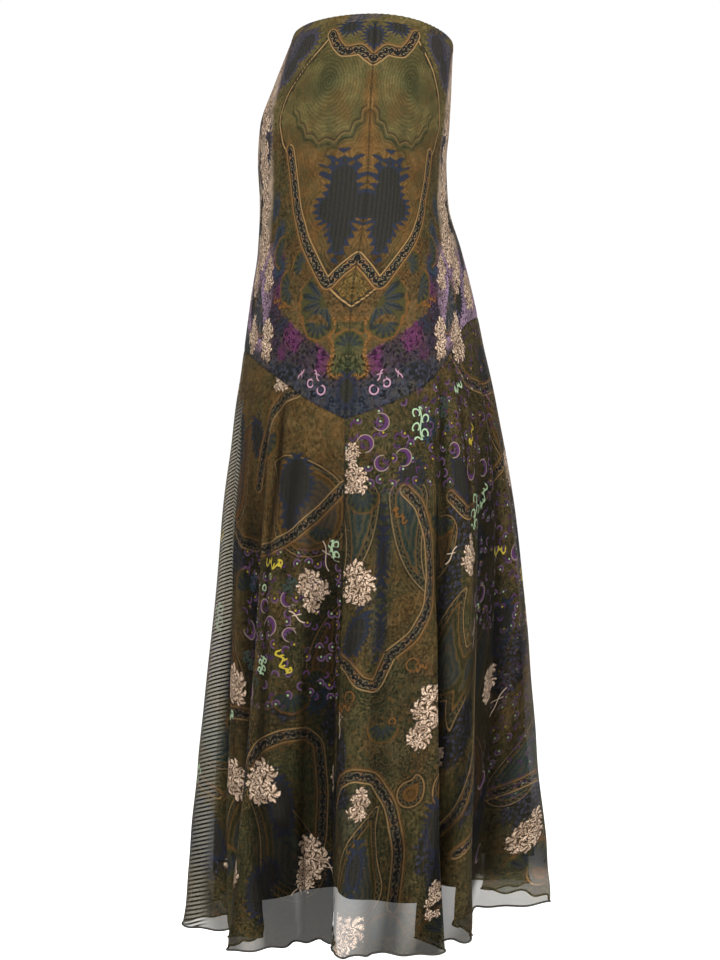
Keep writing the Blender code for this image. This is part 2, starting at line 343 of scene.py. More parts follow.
class Layer:
    """One printed layer on a grid: distance to its nearest motif, that motif's colour, the way along it.

    The distance is in millimetres, below 0 inside a motif.
    """

    def __init__(self, u, v):
        self.u, self.v = u, v
        self.distance = np.full(u.shape, 25.0)
        self.colour = np.zeros((*u.shape, 3))
        self.along = np.zeros(u.shape)
        self.place = np.ones((*u.shape, 2))

    def stamp(self, place, reach, shape, ink, turn, middle=None):
        """Draws a shape, which takes local x and y, at a place on the cloth.

        The layer also keeps where each point lies about the motif's middle, or that of its group.
        """
        x, y = self.u - place[0], self.v - place[1]
        near = np.hypot(x, y) < reach
        distance, along = shape(*turned(x[near], y[near], turn))
        closer = distance < self.distance[near]
        index = index_of(near, closer)
        self.distance[index] = distance[closer]
        self.along[index] = along[closer]
        self.colour[index] = INK[ink]
        middle = middle or place
        self.place[index] = np.stack([self.u[index] - middle[0], self.v[index] - middle[1]], axis=-1)


class Places:
    """Motifs that the material draws: at each point the nearest one, as a place in it from -1 to 1.

    The ratio is the distance from its middle over its size, so it is 1 at the motif's rim.
    """

    def __init__(self, u, v):
        self.u, self.v = u, v
        self.ratio = np.full(u.shape, 3.0)
        self.place = np.zeros((*u.shape, 2))
        self.kind = np.zeros((*u.shape, 3))
        self.ink = np.zeros((*u.shape, 3))

    def stamp(self, u, v, size, turn, kind=0, ink="cream"):
        dx, dy = (self.u - u) / size, (self.v - v) / size
        ratio = np.hypot(dx, dy)
        closer = ratio < self.ratio
        self.ratio[closer] = ratio[closer]
        self.place[closer] = np.stack(turned(dx[closer], dy[closer], turn), axis=-1)
        self.kind[closer] = (kind, size, 0)
        self.ink[closer] = INK[ink]

    def packed(self):
        return vectors(self.place[..., 0], self.place[..., 1], self.ratio)


def heads(width, height, seed):
    """The heads of a bunch: one in the middle and seven about it, uneven, as x, y, size and turn."""
    rng = np.random.default_rng(seed)
    angle = np.arange(7) * 2 * np.pi / 7 + rng.uniform(-0.3, 0.3, 7)
    reach = rng.uniform(0.46, 0.74, 7)
    size = np.concatenate([[0.46], rng.uniform(0.28, 0.42, 7)]) * min(width, height) / 2
    x = np.concatenate([[0.0], reach * np.cos(angle)]) * width / 2
    y = np.concatenate([[0.0], reach * np.sin(angle)]) * height / 2
    return zip(x, y, size, rng.uniform(0, 360, 8))


def oval(half_width, half_height):
    """An oval, the body of a leaf; the material cuts the leaf's points into its rim."""
    small = min(half_width, half_height)
    return lambda x, y: ((np.hypot(x / half_width, y / half_height) - 1) * small, x * 0)


def teardrop(length, width, curl):
    """Circles that shrink along a bent line, the outline of a paisley; lengths in millimetres."""
    t = np.linspace(0, 1, 26)
    radius = width / 2 * (1 - t) ** 0.85 + 1.2
    bend = curl * t**1.7
    link = (length - width / 2) / 25
    run = np.concatenate([[0], np.cumsum(np.full(25, link))])
    step_x, step_y = np.sin(bend) * link, np.cos(bend) * link
    px, py = np.cumsum(step_x) - step_x[0], np.cumsum(step_y) - step_y[0] - length * 0.35

    def shape(x, y):
        every = np.array([np.hypot(x - a, y - b) - r for a, b, r in zip(px, py, radius)])
        return every.min(axis=0), run[every.argmin(axis=0)] + np.arctan2(y - py[0], x - px[0]) * width / 2

    return shape


def ribbon(points):
    """Distance to a smooth line through a few points, and the way along it."""
    points = np.array(points, float)
    knots = np.arange(len(points))
    fine = np.linspace(0, len(points) - 1, 8 * (len(points) - 1) + 1)
    rows = [np.interp(fine, knots, points[:, axis]) for axis in (0, 1)]
    for _ in range(3):
        rows = [np.concatenate([r[:1], (r[:-2] + 2 * r[1:-1] + r[2:]) / 4, r[-1:]]) for r in rows]
    px, py = rows
    run = np.concatenate([[0], np.cumsum(np.hypot(np.diff(px), np.diff(py)))])

    def shape(x, y):
        best = np.full(x.shape, 1e9)
        side = np.zeros(x.shape)
        way = np.zeros(x.shape)
        for i in range(len(px) - 1):
            ax, ay = px[i], py[i]
            bx, by = px[i + 1] - ax, py[i + 1] - ay
            length2 = bx * bx + by * by
            t = np.clip(((x - ax) * bx + (y - ay) * by) / length2, 0, 1)
            d = np.hypot(x - ax - t * bx, y - ay - t * by)
            closer = d < best
            sign = np.sign((x - ax) * by - (y - ay) * bx)
            best = np.where(closer, d, best)
            side = np.where(closer, d * sign, side)
            way = np.where(closer, run[i] + t * (run[i + 1] - run[i]), way)
        return best, side, way

    return shape


# Rows of the print, in millimetres of cloth from the side seam, forward on a front panel and back on a
# back panel, and in millimetres up from the waist:
#   borders, lines   the points of each line
#   drops            for an ink: u, v, length, width, curl, turn
#   great_leaves     for the middle of a group, all in navy: u, v, half width, half height, turn
#   leaves           for an ink: the same
#   bunches          u, v, width, height
#   sprigs           for a kind and an ink: u, v, size, turn
#   fans             u, v, size, turn
#   berries          u, v, half width, half height
Print = namedtuple("Print", "borders lines drops great_leaves leaves bunches sprigs fans berries",
                   defaults=((), (), {}, {}, {}, (), {}, (), ()))

YOKE_PRINT = Print(
    borders=(
        ((0, -47), (7, -42), (14, -35), (24, -37), (33, -37), (41, -28), (47, -16)),
        ((96, -140), (90, -168), (80, -205), (65, -235), (48, -258), (29, -284), (14, -268), (0, -256)),
    ),
    lines=(
        ((47, -16), (60, -30), (82, -50), (106, -76), (120, -106), (110, -132), (94, -150)),
        ((29, -284), (14, -297), (0, -306)),
        ((22, -284), (13, -276), (6, -264), (0, -262)),
    ),
    great_leaves={
        (26, -208): (
            (25, -172, 18, 15, 0), (13, -160, 5, 10, 14), (25, -156, 6, 12, 0), (37, -160, 5, 10, -14),
            (43, -171, 5, 11, -46), (8, -172, 4, 9, 46), (25, -187, 20, 18, 0), (27, -205, 29, 20, 0),
            (23, -228, 16, 15, 0), (23, -241, 10, 16, 0), (3, -202, 14, 18, 0),
        ),
    },
    leaves={
        "blue": ((112, -226, 8, 16, 35), (124, -196, 8, 14, 15), (104, -262, 8, 14, 60)),
        "indigo": ((0, -392, 11, 20, 180), (186, -200, 14, 26, 20), (178, -290, 13, 24, 0)),
        "navy": ((0, -20, 12, 14, 180), (26, -9, 9, 16, 75)),
        "slate": (
            (88, -24, 15, 26, 55), (112, -46, 13, 24, 45), (150, -130, 12, 24, 10),
            (182, -150, 14, 26, -20), (214, -240, 13, 22, 0), (222, -60, 14, 24, 0),
        ),
    },
    bunches=(
        (167, -40, 42, 52), (165, -92, 42, 60), (166, -146, 44, 56), (161, -192, 40, 50),
        (160, -238, 42, 54), (130, -268, 26, 54), (178, -262, 32, 56), (222, -278, 44, 46),
        (124, -338, 30, 50), (166, -330, 34, 48), (206, -120, 40, 52), (214, -190, 44, 48),
        (196, -24, 38, 40),
    ),
    sprigs={
        ("ring", "pink"): ((30, -391, 6, 150), (44, -384, 5, -100)),
        ("stem", "pink"): ((36, -376, 6, 60), (58, -374, 6, 130)),
        ("garland", "rust"): ((100, -300, 13, 30),),
        ("curls", "indigo"): ((92, -322, 11, 60),),
    },
    fans=(
        (30, -300, 34, 240), (62, -262, 17, 300), (80, -284, 19, 255), (38, -322, 18, 190),
        (0, -347, 17, 0), (0, -347, 16, 180), (100, -246, 17, 280), (140, -300, 30, 250),
        (196, -320, 34, 200),
    ),
    berries=(
        (84, -372, 20, 12), (180, -100, 40, 16), (110, -312, 14, 14),
    ),
)

FRONT_PRINT = Print(
    borders=(
        ((66, -494), (82, -508), (95, -540), (99, -580), (97, -612), (82, -640), (60, -658)),
        ((0, -664), (14, -670), (30, -686), (48, -690), (60, -658)),
        ((2, -806), (14, -786), (34, -776), (58, -780), (80, -806), (96, -850), (100, -905)),
        ((150, -350), (185, -380), (230, -388), (272, -380), (320, -395), (380, -385)),
        ((134, -500), (160, -520), (210, -505), (262, -470), (300, -430)),
        ((216, -640), (222, -700), (236, -760), (230, -820), (214, -846)),
        ((250, -860), (275, -836), (310, -836), (340, -870)),
        ((420, -640), (440, -700), (480, -740), (520, -750)),
        ((380, -820), (430, -800), (480, -810), (520, -850), (540, -900)),
    ),
    drops={
        "teal": (
            (20, -546, 120, 42, 0.8, 184), (68, -546, 128, 44, -0.9, 176), (262, -660, 110, 56, -0.8, -20),
            (350, -470, 110, 60, -0.9, 10), (400, -760, 120, 60, 0.8, 0),
        ),
        "deep_olive": (
            (50, -850, 118, 62, 0.7, 6), (150, -640, 120, 56, 0.9, 16), (190, -860, 110, 60, 0.9, -8),
            (180, -700, 90, 40, -0.7, 160),
        ),
        "rust": (
            (126, -786, 34, 26, 1.4, 40), (106, -786, 34, 26, -1.4, -40), (310, -780, 120, 60, -0.9, 14),
            (440, -560, 110, 60, 0.9, -12), (500, -850, 110, 60, -0.8, 10),
        ),
        "brown": ((250, -420, 90, 52, 0.8, 60), (132, -560, 70, 34, 0.8, 190)),
    },
    leaves={
        "indigo": (
            (44, -560, 6, 46, 0), (46, -636, 6, 28, 180), (74, -476, 18, 15, 30), (150, -480, 14, 28, 20),
            (130, -830, 12, 30, 10), (140, -880, 10, 22, 20), (320, -540, 15, 28, -20),
            (400, -440, 15, 28, 20),
        ),
        "navy": (
            (250, -360, 22, 22, 0), (20, -640, 12, 30, 160), (210, -560, 15, 30, 0), (300, -640, 15, 32, 0),
            (48, -868, 9, 30, 0), (360, -840, 16, 34, 0), (440, -680, 16, 34, 0), (490, -620, 15, 30, 0),
            (470, -450, 15, 28, 0),
        ),
        "blue": ((96, -430, 12, 16, 0),),
    },
    bunches=(
        (8, -458, 18, 34), (12, -484, 26, 34), (20, -590, 38, 54), (106, -714, 36, 52), (100, -740, 26, 30),
        (44, -806, 22, 46), (42, -932, 52, 46), (142, -896, 22, 52), (170, -342, 44, 36),
        (170, -562, 30, 50), (182, -770, 16, 46), (322, -846, 42, 46), (300, -700, 34, 48),
        (455, -862, 46, 50), (362, -620, 40, 48), (250, -930, 36, 34), (330, -350, 44, 40),
        (400, -600, 44, 48), (520, -700, 44, 50), (300, -470, 36, 40), (390, -930, 44, 40),
        (460, -380, 40, 44),
    ),
    sprigs={
        ("crescent", "plum"): (
            (39, -424, 9, 150), (22, -446, 9, 205), (40, -466, 8, 10), (64, -460, 9, 190),
            (140, -452, 8, 185), (176, -474, 9, 60), (214, -470, 9, 170), (232, -602, 9, 150),
            (200, -606, 8, 60), (300, -560, 9, 30), (380, -690, 9, 200), (460, -620, 9, 80),
            (340, -800, 9, 140), (400, -880, 9, 0), (430, -500, 9, 60),
        ),
        ("curls", "mint"): (
            (86, -425, 17, 8), (188, -516, 19, -12), (222, -620, 13, 14), (480, -780, 16, 60),
            (360, -410, 14, 0),
        ),
        ("curls", "teal"): ((124, -408, 11, -14), (236, -690, 16, 30), (420, -730, 16, 20)),
        ("garland", "mint"): ((158, -388, 11, 30), (218, -500, 14, 70)),
        ("garland", "yellow"): (
            (186, -436, 13, 62), (330, -590, 14, -30), (270, -560, 13, 10), (500, -560, 14, 40),
        ),
        ("ring", "blue"): ((130, -430, 4, 0),),
        ("ring", "rust"): ((84, -668, 8, 60), (20, -700, 7, 0), (70, -724, 4, 0)),
        ("garland", "rust"): ((92, -672, 9, 20), (12, -712, 11, 12), (60, -520, 10, -40)),
        ("stem", "cream"): (
            (196, -640, 16, 80), (140, -560, 11, 50), (6, -728, 14, 84), (330, -720, 16, 70),
        ),
    },
    fans=(
        (20, -500, 17, 200), (120, -520, 22, 170), (60, -728, 17, 180), (150, -742, 22, 0),
        (160, -930, 26, 0), (260, -800, 30, 30), (400, -520, 28, 0), (480, -900, 30, 0),
        (300, -395, 22, 180), (96, -936, 22, 10),
    ),
    berries=(
        (150, -520, 20, 46), (146, -610, 15, 60), (160, -700, 15, 40), (196, -740, 22, 40),
        (240, -790, 22, 40), (126, -850, 15, 26), (10, -760, 15, 30), (330, -680, 26, 40),
        (430, -820, 30, 36), (520, -620, 26, 50), (20, -800, 12, 14), (360, -540, 26, 34),
    ),
)

BACK_PRINT = Print(
    borders=(
        ((112, -556), (84, -552), (56, -538), (28, -515), (0, -490)),
        ((62, -392), (84, -398), (104, -416), (118, -452), (126, -490)),
        ((130, -552), (160, -548), (200, -520), (240, -500)),
        ((112, -770), (96, -752), (72, -742), (44, -740), (30, -750), (28, -800), (34, -850), (56, -884)),
        ((150, -736), (180, -728), (214, -728), (250, -745)),
        ((280, -620), (320, -600), (360, -610)),
        ((300, -820), (340, -800), (380, -815), (410, -860)),
        ((170, -760), (160, -800), (166, -860), (190, -900)),
    ),
    drops={
        "brown": ((60, -478, 120, 92, 0.8, -28), (20, -640, 90, 36, -0.7, 8)),
        "rust": (
            (170, -450, 130, 74, -0.8, 20), (200, -650, 120, 60, 0.9, 0), (370, -760, 120, 60, -0.9, 0),
        ),
        "deep_olive": (
            (78, -830, 130, 74, 0.9, -12), (210, -830, 120, 66, -0.8, 14), (260, -440, 110, 60, 0.8, 10),
            (400, -880, 110, 60, 0.9, 20), (20, -900, 80, 34, 0.7, 190),
        ),
        "teal": ((290, -720, 120, 66, 0.9, -14),),
    },
    great_leaves={
        (58, -486): ((58, -486, 22, 30, 6), (62, -520, 11, 20, 0)),
    },
    leaves={
        "navy": (
            (190, -440, 22, 38, 0), (20, -890, 12, 28, 0), (240, -780, 16, 34, 0), (330, -860, 18, 36, 0),
            (320, -660, 18, 34, 0),
        ),
        "indigo": (
            (130, -440, 12, 26, -20), (78, -812, 14, 34, 0), (96, -880, 11, 16, 0), (200, -570, 15, 28, 0),
            (110, -900, 14, 28, 15), (300, -540, 16, 30, 0),
        ),
        "blue": ((30, -706, 9, 16, 40),),
    },
    bunches=(
        (36, -596, 34, 56), (90, -378, 24, 34), (98, -792, 40, 52), (46, -868, 40, 42), (58, -892, 26, 26),
        (12, -786, 12, 44), (215, -796, 44, 50), (280, -560, 40, 50), (190, -700, 44, 40),
        (300, -900, 46, 44), (380, -700, 44, 50), (240, -380, 44, 40), (420, -820, 44, 46),
        (150, -880, 34, 40),
    ),
    sprigs={
        ("garland", "yellow"): (
            (84, -570, 14, 12), (68, -668, 13, 70), (250, -546, 16, 0), (350, -600, 15, 0),
        ),
        ("curls", "teal"): ((60, -590, 9, 50), (160, -672, 10, -20)),
        ("crescent", "plum"): (
            (62, -604, 8, 150), (96, -612, 7, 200), (84, -632, 10, 300), (60, -640, 7, 205),
            (152, -640, 10, 30), (140, -700, 10, 300), (116, -700, 8, 0), (300, -640, 9, 80),
            (270, -690, 9, 170),
        ),
        ("ring", "mint"): ((98, -594, 4, 10), (86, -582, 3, 0)),
        ("curls", "mint"): (
            (94, -672, 9, 20), (12, -556, 12, 5), (246, -630, 15, 20), (330, -800, 13, 60),
            (150, -824, 13, 10), (140, -740, 13, 0),
        ),
        ("ring", "teal"): ((104, -690, 5, 0),),
        ("curls", "blue"): ((140, -590, 9, 30),),
        ("garland", "mint"): ((212, -732, 14, 10),),
        ("stem", "cream"): (
            (20, -560, 16, 70), (52, -622, 10, 30), (66, -898, 13, 140), (24, -878, 11, 40),
        ),
    },
    fans=(
        (60, -700, 20, 180), (26, -530, 17, 190), (150, -600, 24, 0), (250, -900, 30, 0),
        (110, -440, 20, 150), (330, -740, 28, 0), (30, -690, 15, 0),
    ),
    berries=(
        (14, -730, 13, 24), (8, -820, 13, 50), (66, -716, 18, 12), (130, -640, 20, 50), (130, -760, 18, 50),
        (240, -680, 28, 40), (350, -880, 30, 30), (170, -560, 20, 24),
    ),
)


def zone(u, v, u0, u1, v0, v1, soft):
    """1 inside a box of cloth, 0 outside, soft at its edges."""
    across = step(u0 - soft, u0 + soft, u) * (1 - step(u1 - soft, u1 + soft, u))
    return across * step(v0 - soft, v0 + soft, v) * (1 - step(v1 - soft, v1 + soft, v))


def tinted(ground, *layers):
    """Lays inks over a colour of the cloth, each by its mask, one after another."""
    for mask, ink in layers:
        ground = ground + (INK[ink] - ground) * mask[..., None]
    return ground


# Half width of the yoke's cartouche at each height.
CARTOUCHE_UP = (-290, -283, -258, -235, -205, -176, -150, -134, -112, -88, -66, -47, -30, -10)
CARTOUCHE_HALF = (0, 28, 48, 66, 82, 91, 97, 110, 126, 124, 108, 88, 70, 52)
EYE = (46, -70)  # middle of the ringed egg each side of the seam, high on the yoke
EYE_HALF = (44, 62)
BLOOM = (138, 196, -250, -20, 9)  # the pale zone crowded with flowers, as u, u, v, v and softness
VIOLET_UP = -366  # height of the violet zone's upper edge, before it is lifted outwards


def yoke_ground(u, v):
    """Colour of the yoke's cloth under its motifs, zone by zone, its rings and how busy it is."""
    wander = smooth_noise(u / 16, v / 16, 3) * 3
    scallop = 2.2 * np.abs(np.sin(u / 4.1)) + 2.2 * np.abs(np.sin(v / 4.1))
    half = np.interp(v, CARTOUCHE_UP, CARTOUCHE_HALF)
    inside = (u < half) & (v > CARTOUCHE_UP[0])
    bloom = zone(u, v, *BLOOM)
    band = 1 - step(-2, 2, v - VIOLET_UP - 0.62 * np.clip(u, 22, 96) + wander + scallop)
    band = np.maximum(band, step(92, 98, u + wander * 0.6) * (1 - step(-262, -240, v + wander * 2)))
    magenta = step(-0.12, 0.1, smooth_noise(u / 9, v / 11, 14)) * (1 - step(104, 130, u))
    ground = tinted(
        INK["dark_brown"],
        (step(-112, -88, v), "slate"),
        ((1 - step(-6, 6, u - (half + 20) + wander)) * step(-130, -110, v), "olive"),
        (zone(u, v, -9, 400, -245, -120, 20) * 0.6, "deep_olive"),
        (1 - step(-252, -238, v + wander), "brown"),
        ((1 - step(-240, -226, v + wander)) * 0.7, "dark_brown"),
        (bloom * 0.8, "cream"),
        (band, "violet"),
        (band * magenta, "magenta"),
        (step(112, 128, u) * zone(u, v, 0, 400, -345, -236, 8) * 0.9, "mauve"),
        (1 - step(-388, -378, v + wander - 0.25 * u), "navy"),
    )

    # The cartouche: an egg with a scalloped rim, a stem at the seam and a darker foot.
    x, y = u - EYE[0], v - EYE[1]
    egg = np.hypot(x / EYE_HALF[0], y / EYE_HALF[1])
    scallops = np.abs(np.sin(11 * np.arctan2(y, x))) - 0.5
    lobe = egg * 50 + 4.0 * scallops * step(0.72, 0.95, egg)
    rim = 1 - step(1, 5, np.abs(lobe - 56))
    stem = 1 - step(4, 12, u + wander * 0.6 + (v + 100) * 0.06)
    cartouche = tinted(
        INK["brown"],
        (step(-150, -118, v + wander) * 0.8, "olive"),
        (1 - step(49, 51, lobe), "olive"),
        ((1 - step(4, 30, lobe)) * 0.8, "moss"),
        (rim * (1 - step(-110, -90, v)) * 0.7, "moss"),
        (stem * step(-170, -120, v) * (1 - step(-66, -50, v)) * 0.6, "rust"),
        (1 - step(-262, -228, v + wander), "dark_brown"),
    )
    ground = np.where((inside & (v >= -256 - u))[..., None], cartouche, ground)

    # Below it a gold wedge and a rust box with a moss heart, on the seam.
    gold = (u < 30) & (v > -304 + 0.7 * u) & (v < -264 - 0.75 * u)
    ground = np.where(gold[..., None], INK["ochre"] * 0.68, ground)
    box = np.maximum(np.abs(u) - 22 - 2 * np.sin(v / 5), np.abs(v + 348) - 32)
    ground = tinted(ground, (1 - step(-1, 1, box), "rust"), (1 - step(-1, 1, box + 5), "moss"))
    crown = inside & (v > -140)
    busy = np.where(crown, 0.2, np.where(inside, 0.3, 0.75)) + band * 0.6
    busy = np.where(gold, 1.0, busy) * (1 - bloom * 0.5)
    return ground, np.where(crown, lobe, 0.0), busy, np.zeros(u.shape)


# The lower skirt's zones as u, u, v, v and softness, and for the tints a strength and an ink.
SPRIGGED = {
    "front": ((-9, 250, -492, -280, 10), (190, 330, -640, -492, 20)),
    "back": ((-9, 160, -712, -556, 8), (230, 330, -680, -500, 20)),
}
TINTS = {
    "front": (
        (4, 96, -664, -500, 6, 0.4, "brown"),
        (36, 54, -660, -480, 5, 0.6, "teal"),
        (40, 200, -780, -664, 12, 0.9, "dark_olive"),
        (-9, 60, -900, -786, 10, 0.25, "navy"),
    ),
    "back": (
        (-9, 125, -548, -390, 8, 0.9, "brown"),
        (130, 230, -530, -360, 18, 0.7, "brown"),
        (60, 220, -760, -704, 12, 0.6, "dark_brown"),
    ),
}


def lower_ground(u, v, part):
    """Colour of the lower skirt's cloth: olive and brown clouds, darker and bluer in the sprigged zones."""
    cloud = smooth_noise(u / 42, v / 55, 7 if part == "front" else 11)
    small = smooth_noise(u / 15, v / 18, 8)
    sprigged = sum(zone(u, v, *box) for box in SPRIGGED[part])
    sprigged = np.clip(sprigged + zone(u, v, 330, 700, -820, -400, 40) * 0.6, 0, 1)
    ground = tinted(
        INK["deep_olive"],
        (step(0.0, 0.5, cloud + 0.25 * small) * 0.45, "brown"),
        (step(0.0, 0.5, -cloud + 0.4 * small) * 0.6, "moss"),
        *((zone(u, v, *box) * strength, ink) for *box, strength, ink in TINTS[part]),
        (sprigged * 0.6, "dark_olive"),
        (zone(u, v, -9, 700, -1000, -840, 30) * 0.4, "dark_olive"),
    )
    return ground, np.zeros(u.shape), np.full(u.shape, 0.9), sprigged


KINDS = {"crescent": 0, "garland": 1, "curls": 2, "stem": 3, "ring": 4}
FAR = 60.0  # millimetres, where there is no line near


def print_fields(u, v, ground, rings, busy, sprigged, rows):
    """All the fields that the material reads, three numbers to an attribute."""
    drop, leaf = Layer(u, v), Layer(u, v)
    sprig, bunch, fan = Places(u, v), Places(u, v), Places(u, v)
    for ink, drops in rows.drops.items():
        for x, y, length, width, curl, turn in drops:
            drop.stamp((x, y), length * 0.95, teardrop(length, width, curl), ink, turn)
    groups = [("navy", middle, leaves) for middle, leaves in rows.great_leaves.items()]
    groups += [(ink, None, leaves) for ink, leaves in rows.leaves.items()]
    for ink, middle, leaves in groups:
        for x, y, half_width, half_height, turn in leaves:
            reach = math.hypot(half_width, half_height) + 10
            leaf.stamp((x, y), reach, oval(half_width, half_height), ink, turn, middle)
    for (kind, ink), sprigs in rows.sprigs.items():
        for row in sprigs:
            sprig.stamp(*row, KINDS[kind], ink)
    for i, (x, y, width, height) in enumerate(rows.bunches):
        for right, up, size, turn in heads(width, height, 50 + i):
            bunch.stamp(x + right, y + up, size, turn)
    for row in rows.fans:
        fan.stamp(*row)
    berries = np.full(u.shape, 3.0)
    for x, y, half_width, half_height in rows.berries:
        berries = np.minimum(berries, np.hypot((u - x) / half_width, (v - y) / half_height))
    border, side, way = np.full(u.shape, FAR), np.full(u.shape, FAR), np.zeros(u.shape)
    for points in rows.borders:
        low, high = np.min(points, axis=0) - 24, np.max(points, axis=0) + 24
        near = (u > low[0]) & (u < high[0]) & (v > low[1]) & (v < high[1])
        drawn = ribbon(points)(u[near], v[near])
        closer = drawn[0] < border[near]
        for kept, value in zip((border, side, way), drawn):
            kept[index_of(near, closer)] = value[closer]
    line = np.full(u.shape, FAR)
    for points in rows.lines:
        line = np.minimum(line, ribbon(points)(u, v)[0])
    nearest = np.minimum(np.abs(drop.distance), np.minimum(np.abs(leaf.distance), border))
    return {
        "cloth": vectors(u, v, busy),
        "ground": ground,
        "contour": vectors(np.where(rings > 0, rings, nearest), sprigged, berries),
        "drop": vectors(drop.distance, drop.along, line),
        "drop_ink": drop.colour,
        "leaf": vectors(leaf.distance, leaf.place[..., 0], leaf.place[..., 1]),
        "leaf_ink": leaf.colour,
        "sprig": sprig.packed(),
        "sprig_kind": sprig.kind,
        "sprig_ink": sprig.ink,
        "bunch": bunch.packed(),
        "fan": fan.packed(),
        "border": vectors(border, side, way),
    }


# ---------------------------------------------------------------------------------------------------
# Shader writing.

FULL_TURN = 2 * math.pi

# Millimetres of cloth between the small things that the material scatters.
FLOWER_SPACING = 17.0
COMMA_SPACING = 7.0
BERRY_SPACING = 5.4
ARC_SPACING = 12.0
STROKE_SPACING = 4.0


class Value:
    """A number that changes over a surface. Python's operators on it add Math nodes."""

    def __init__(self, recipe, socket):
        self.recipe, self.socket = recipe, socket

    def math(self, operation, *others):
        sockets = dict(enumerate((self, *others)))
        return Value(self.recipe, self.recipe.node("ShaderNodeMath", {"operation": operation}, sockets)[0])

    def __add__(self, other):
        return self.math("ADD", other)

    def __sub__(self, other):
        return self.math("SUBTRACT", other)

    def __mul__(self, other):
        return self.math("MULTIPLY", other)

    def __truediv__(self, other):
        return self.math("DIVIDE", other)

    def __rsub__(self, other):
        return (self * -1.0) + other

    __radd__ = __add__
    __rmul__ = __mul__

    def __abs__(self):
        return self.math("ABSOLUTE")

    def sin(self):
        return self.math("SINE")

    def wave(self, length):
        """Sine with a wavelength."""
        return (self * (FULL_TURN / length)).sin()

    def repeat(self, length):
        """The same short stretch over and over, from minus half a length to plus half."""
        return ((self / length).math("FRACT") - 0.5) * length

    def at_most(self, other):
        return self.math("MINIMUM", other)

    def at_least(self, other):
        return self.math("MAXIMUM", other)

    def below(self, edge, soft):
        """1 where the value is under the edge, 0 above, soft between."""
        settings = {"interpolation_type": "SMOOTHSTEP"}
        limits = {"From Min": edge - soft, "From Max": edge + soft, "To Min": 1.0, "To Max": 0.0}
        out = self.recipe.node("ShaderNodeMapRange", settings, {"Value": self, **limits})
        return Value(self.recipe, out["Result"])

    def above(self, edge, soft):
        return 1.0 - self.below(edge, soft)

    def within(self, middle, half, soft):
        """1 on a line of a half width about a middle value."""
        return abs(self - middle).below(half, soft)


class Recipe:
    """A material and its node tree."""

    def __init__(self, name):
        self.material = bpy.data.materials.new(name)
        self.material.use_nodes = True
        self.tree = self.material.node_tree
        self.tree.nodes.clear()

    def node(self, kind, settings=None, sockets=None):
        """Adds a node: settings first, then the values or links of its sockets. Returns its outputs."""
        node = self.tree.nodes.new(kind)
        for key, value in (settings or {}).items():
            setattr(node, key, value)
        for key, value in (sockets or {}).items():
            if isinstance(value, Value):
                value = value.socket
            if isinstance(value, bpy.types.NodeSocket):
                self.tree.links.new(value, node.inputs[key])
            else:
                node.inputs[key].default_value = value
        return node.outputs

    def parts(self, vector):
        """The three numbers of a vector."""
        out = self.node("ShaderNodeSeparateXYZ", None, {0: vector})
        return [Value(self, out[i]) for i in range(3)]

    def vector(self, name):
        return self.node("ShaderNodeAttribute", {"attribute_name": name})["Vector"]

    def fields(self, name):
        return self.parts(self.vector(name))

    def mix(self, under, over, mask):
        """Lays one colour over another where the mask is 1."""
        sockets = {0: mask, 6: as_colour(under), 7: as_colour(over)}
        return self.node("ShaderNodeMix", {"data_type": "RGBA"}, sockets)[2]

    def lay(self, colour, *layers):
        """Lays inks over a colour one after another, each where its mask is 1."""
        for over, mask in layers:
            colour = self.mix(colour, over, mask)
        return colour

    def scaled(self, vector, factor):
        return self.node("ShaderNodeVectorMath", {"operation": "SCALE"}, {0: vector, "Scale": factor})[0]

    def combined(self, operation, vector, other):
        return self.node("ShaderNodeVectorMath", {"operation": operation}, {0: vector, 1: other})[0]

    def noise(self, vector, scale, detail=2.0):
        sockets = {"Vector": vector, "Scale": scale, "Detail": detail}
        return Value(self, self.node("ShaderNodeTexNoise", {"noise_dimensions": "2D"}, sockets)["Fac"])

    def scattered(self, cloth, spacing):
        """Scattered spots: distance to the nearest, the angle about it, and two random numbers of it."""
        out = self.node("ShaderNodeTexVoronoi", {"voronoi_dimensions": "2D"},
                        {"Vector": cloth, "Scale": 1 / spacing, "Randomness": 0.85})
        x, y, _ = self.parts(self.combined("SUBTRACT", cloth, out["Position"]))
        tone, chance, _ = self.parts(out["Color"])
        return Value(self, out["Distance"]) * spacing, y.math("ARCTAN2", x), tone, chance

    def finish(self, surface):
        self.node("ShaderNodeOutputMaterial", None, {"Surface": surface})
        return self.material


def as_colour(value):
    """An ink's name or a colour's three numbers, as a socket takes them."""
    if isinstance(value, str):
        value = INK[value]
    if isinstance(value, np.ndarray):
        return (*value.tolist(), 1.0)
    return value


def length_of(x, y):
    return (x * x + y * y).math("SQRT")


def hoop(x, y, middle_x, middle_y, radius):
    """Distance to a circle's line."""
    return abs(length_of(x - middle_x, y - middle_y) - radius)


def crescent(x, y):
    """A disc less a second disc set to one side, and the distance to the first one's rim."""
    rim = length_of(x, y) - 1.0
    return rim.at_least(0.86 - length_of(x - 0.42, y - 0.12)), rim


def garland(x, y):
    """A wavy line with spikes along one side and a hook at its end."""
    wave = y - (x * 6.5).sin() * 0.22
    spike = abs((x + 0.1).repeat(0.4)).at_least(abs(wave - 0.17) - 0.15)
    line = (abs(wave) * 0.62).at_most(spike).at_least(abs(x) - 0.9)
    return line.at_most(hoop(x, y, -0.72, 0.32, 0.22).at_least(x + 0.62))


def curls(x, y):
    """A bent stalk with round hooks on both sides."""
    bent = x - (y * 3.0).sin() * 0.12
    row = (y + bent.math("SIGN") * 0.22).repeat(0.85)
    hook = hoop(abs(bent), row, 0.36, 0.0, 0.26).at_least(-0.14 - row)
    return abs(bent).at_most(hook).at_least(abs(y) - 0.96)


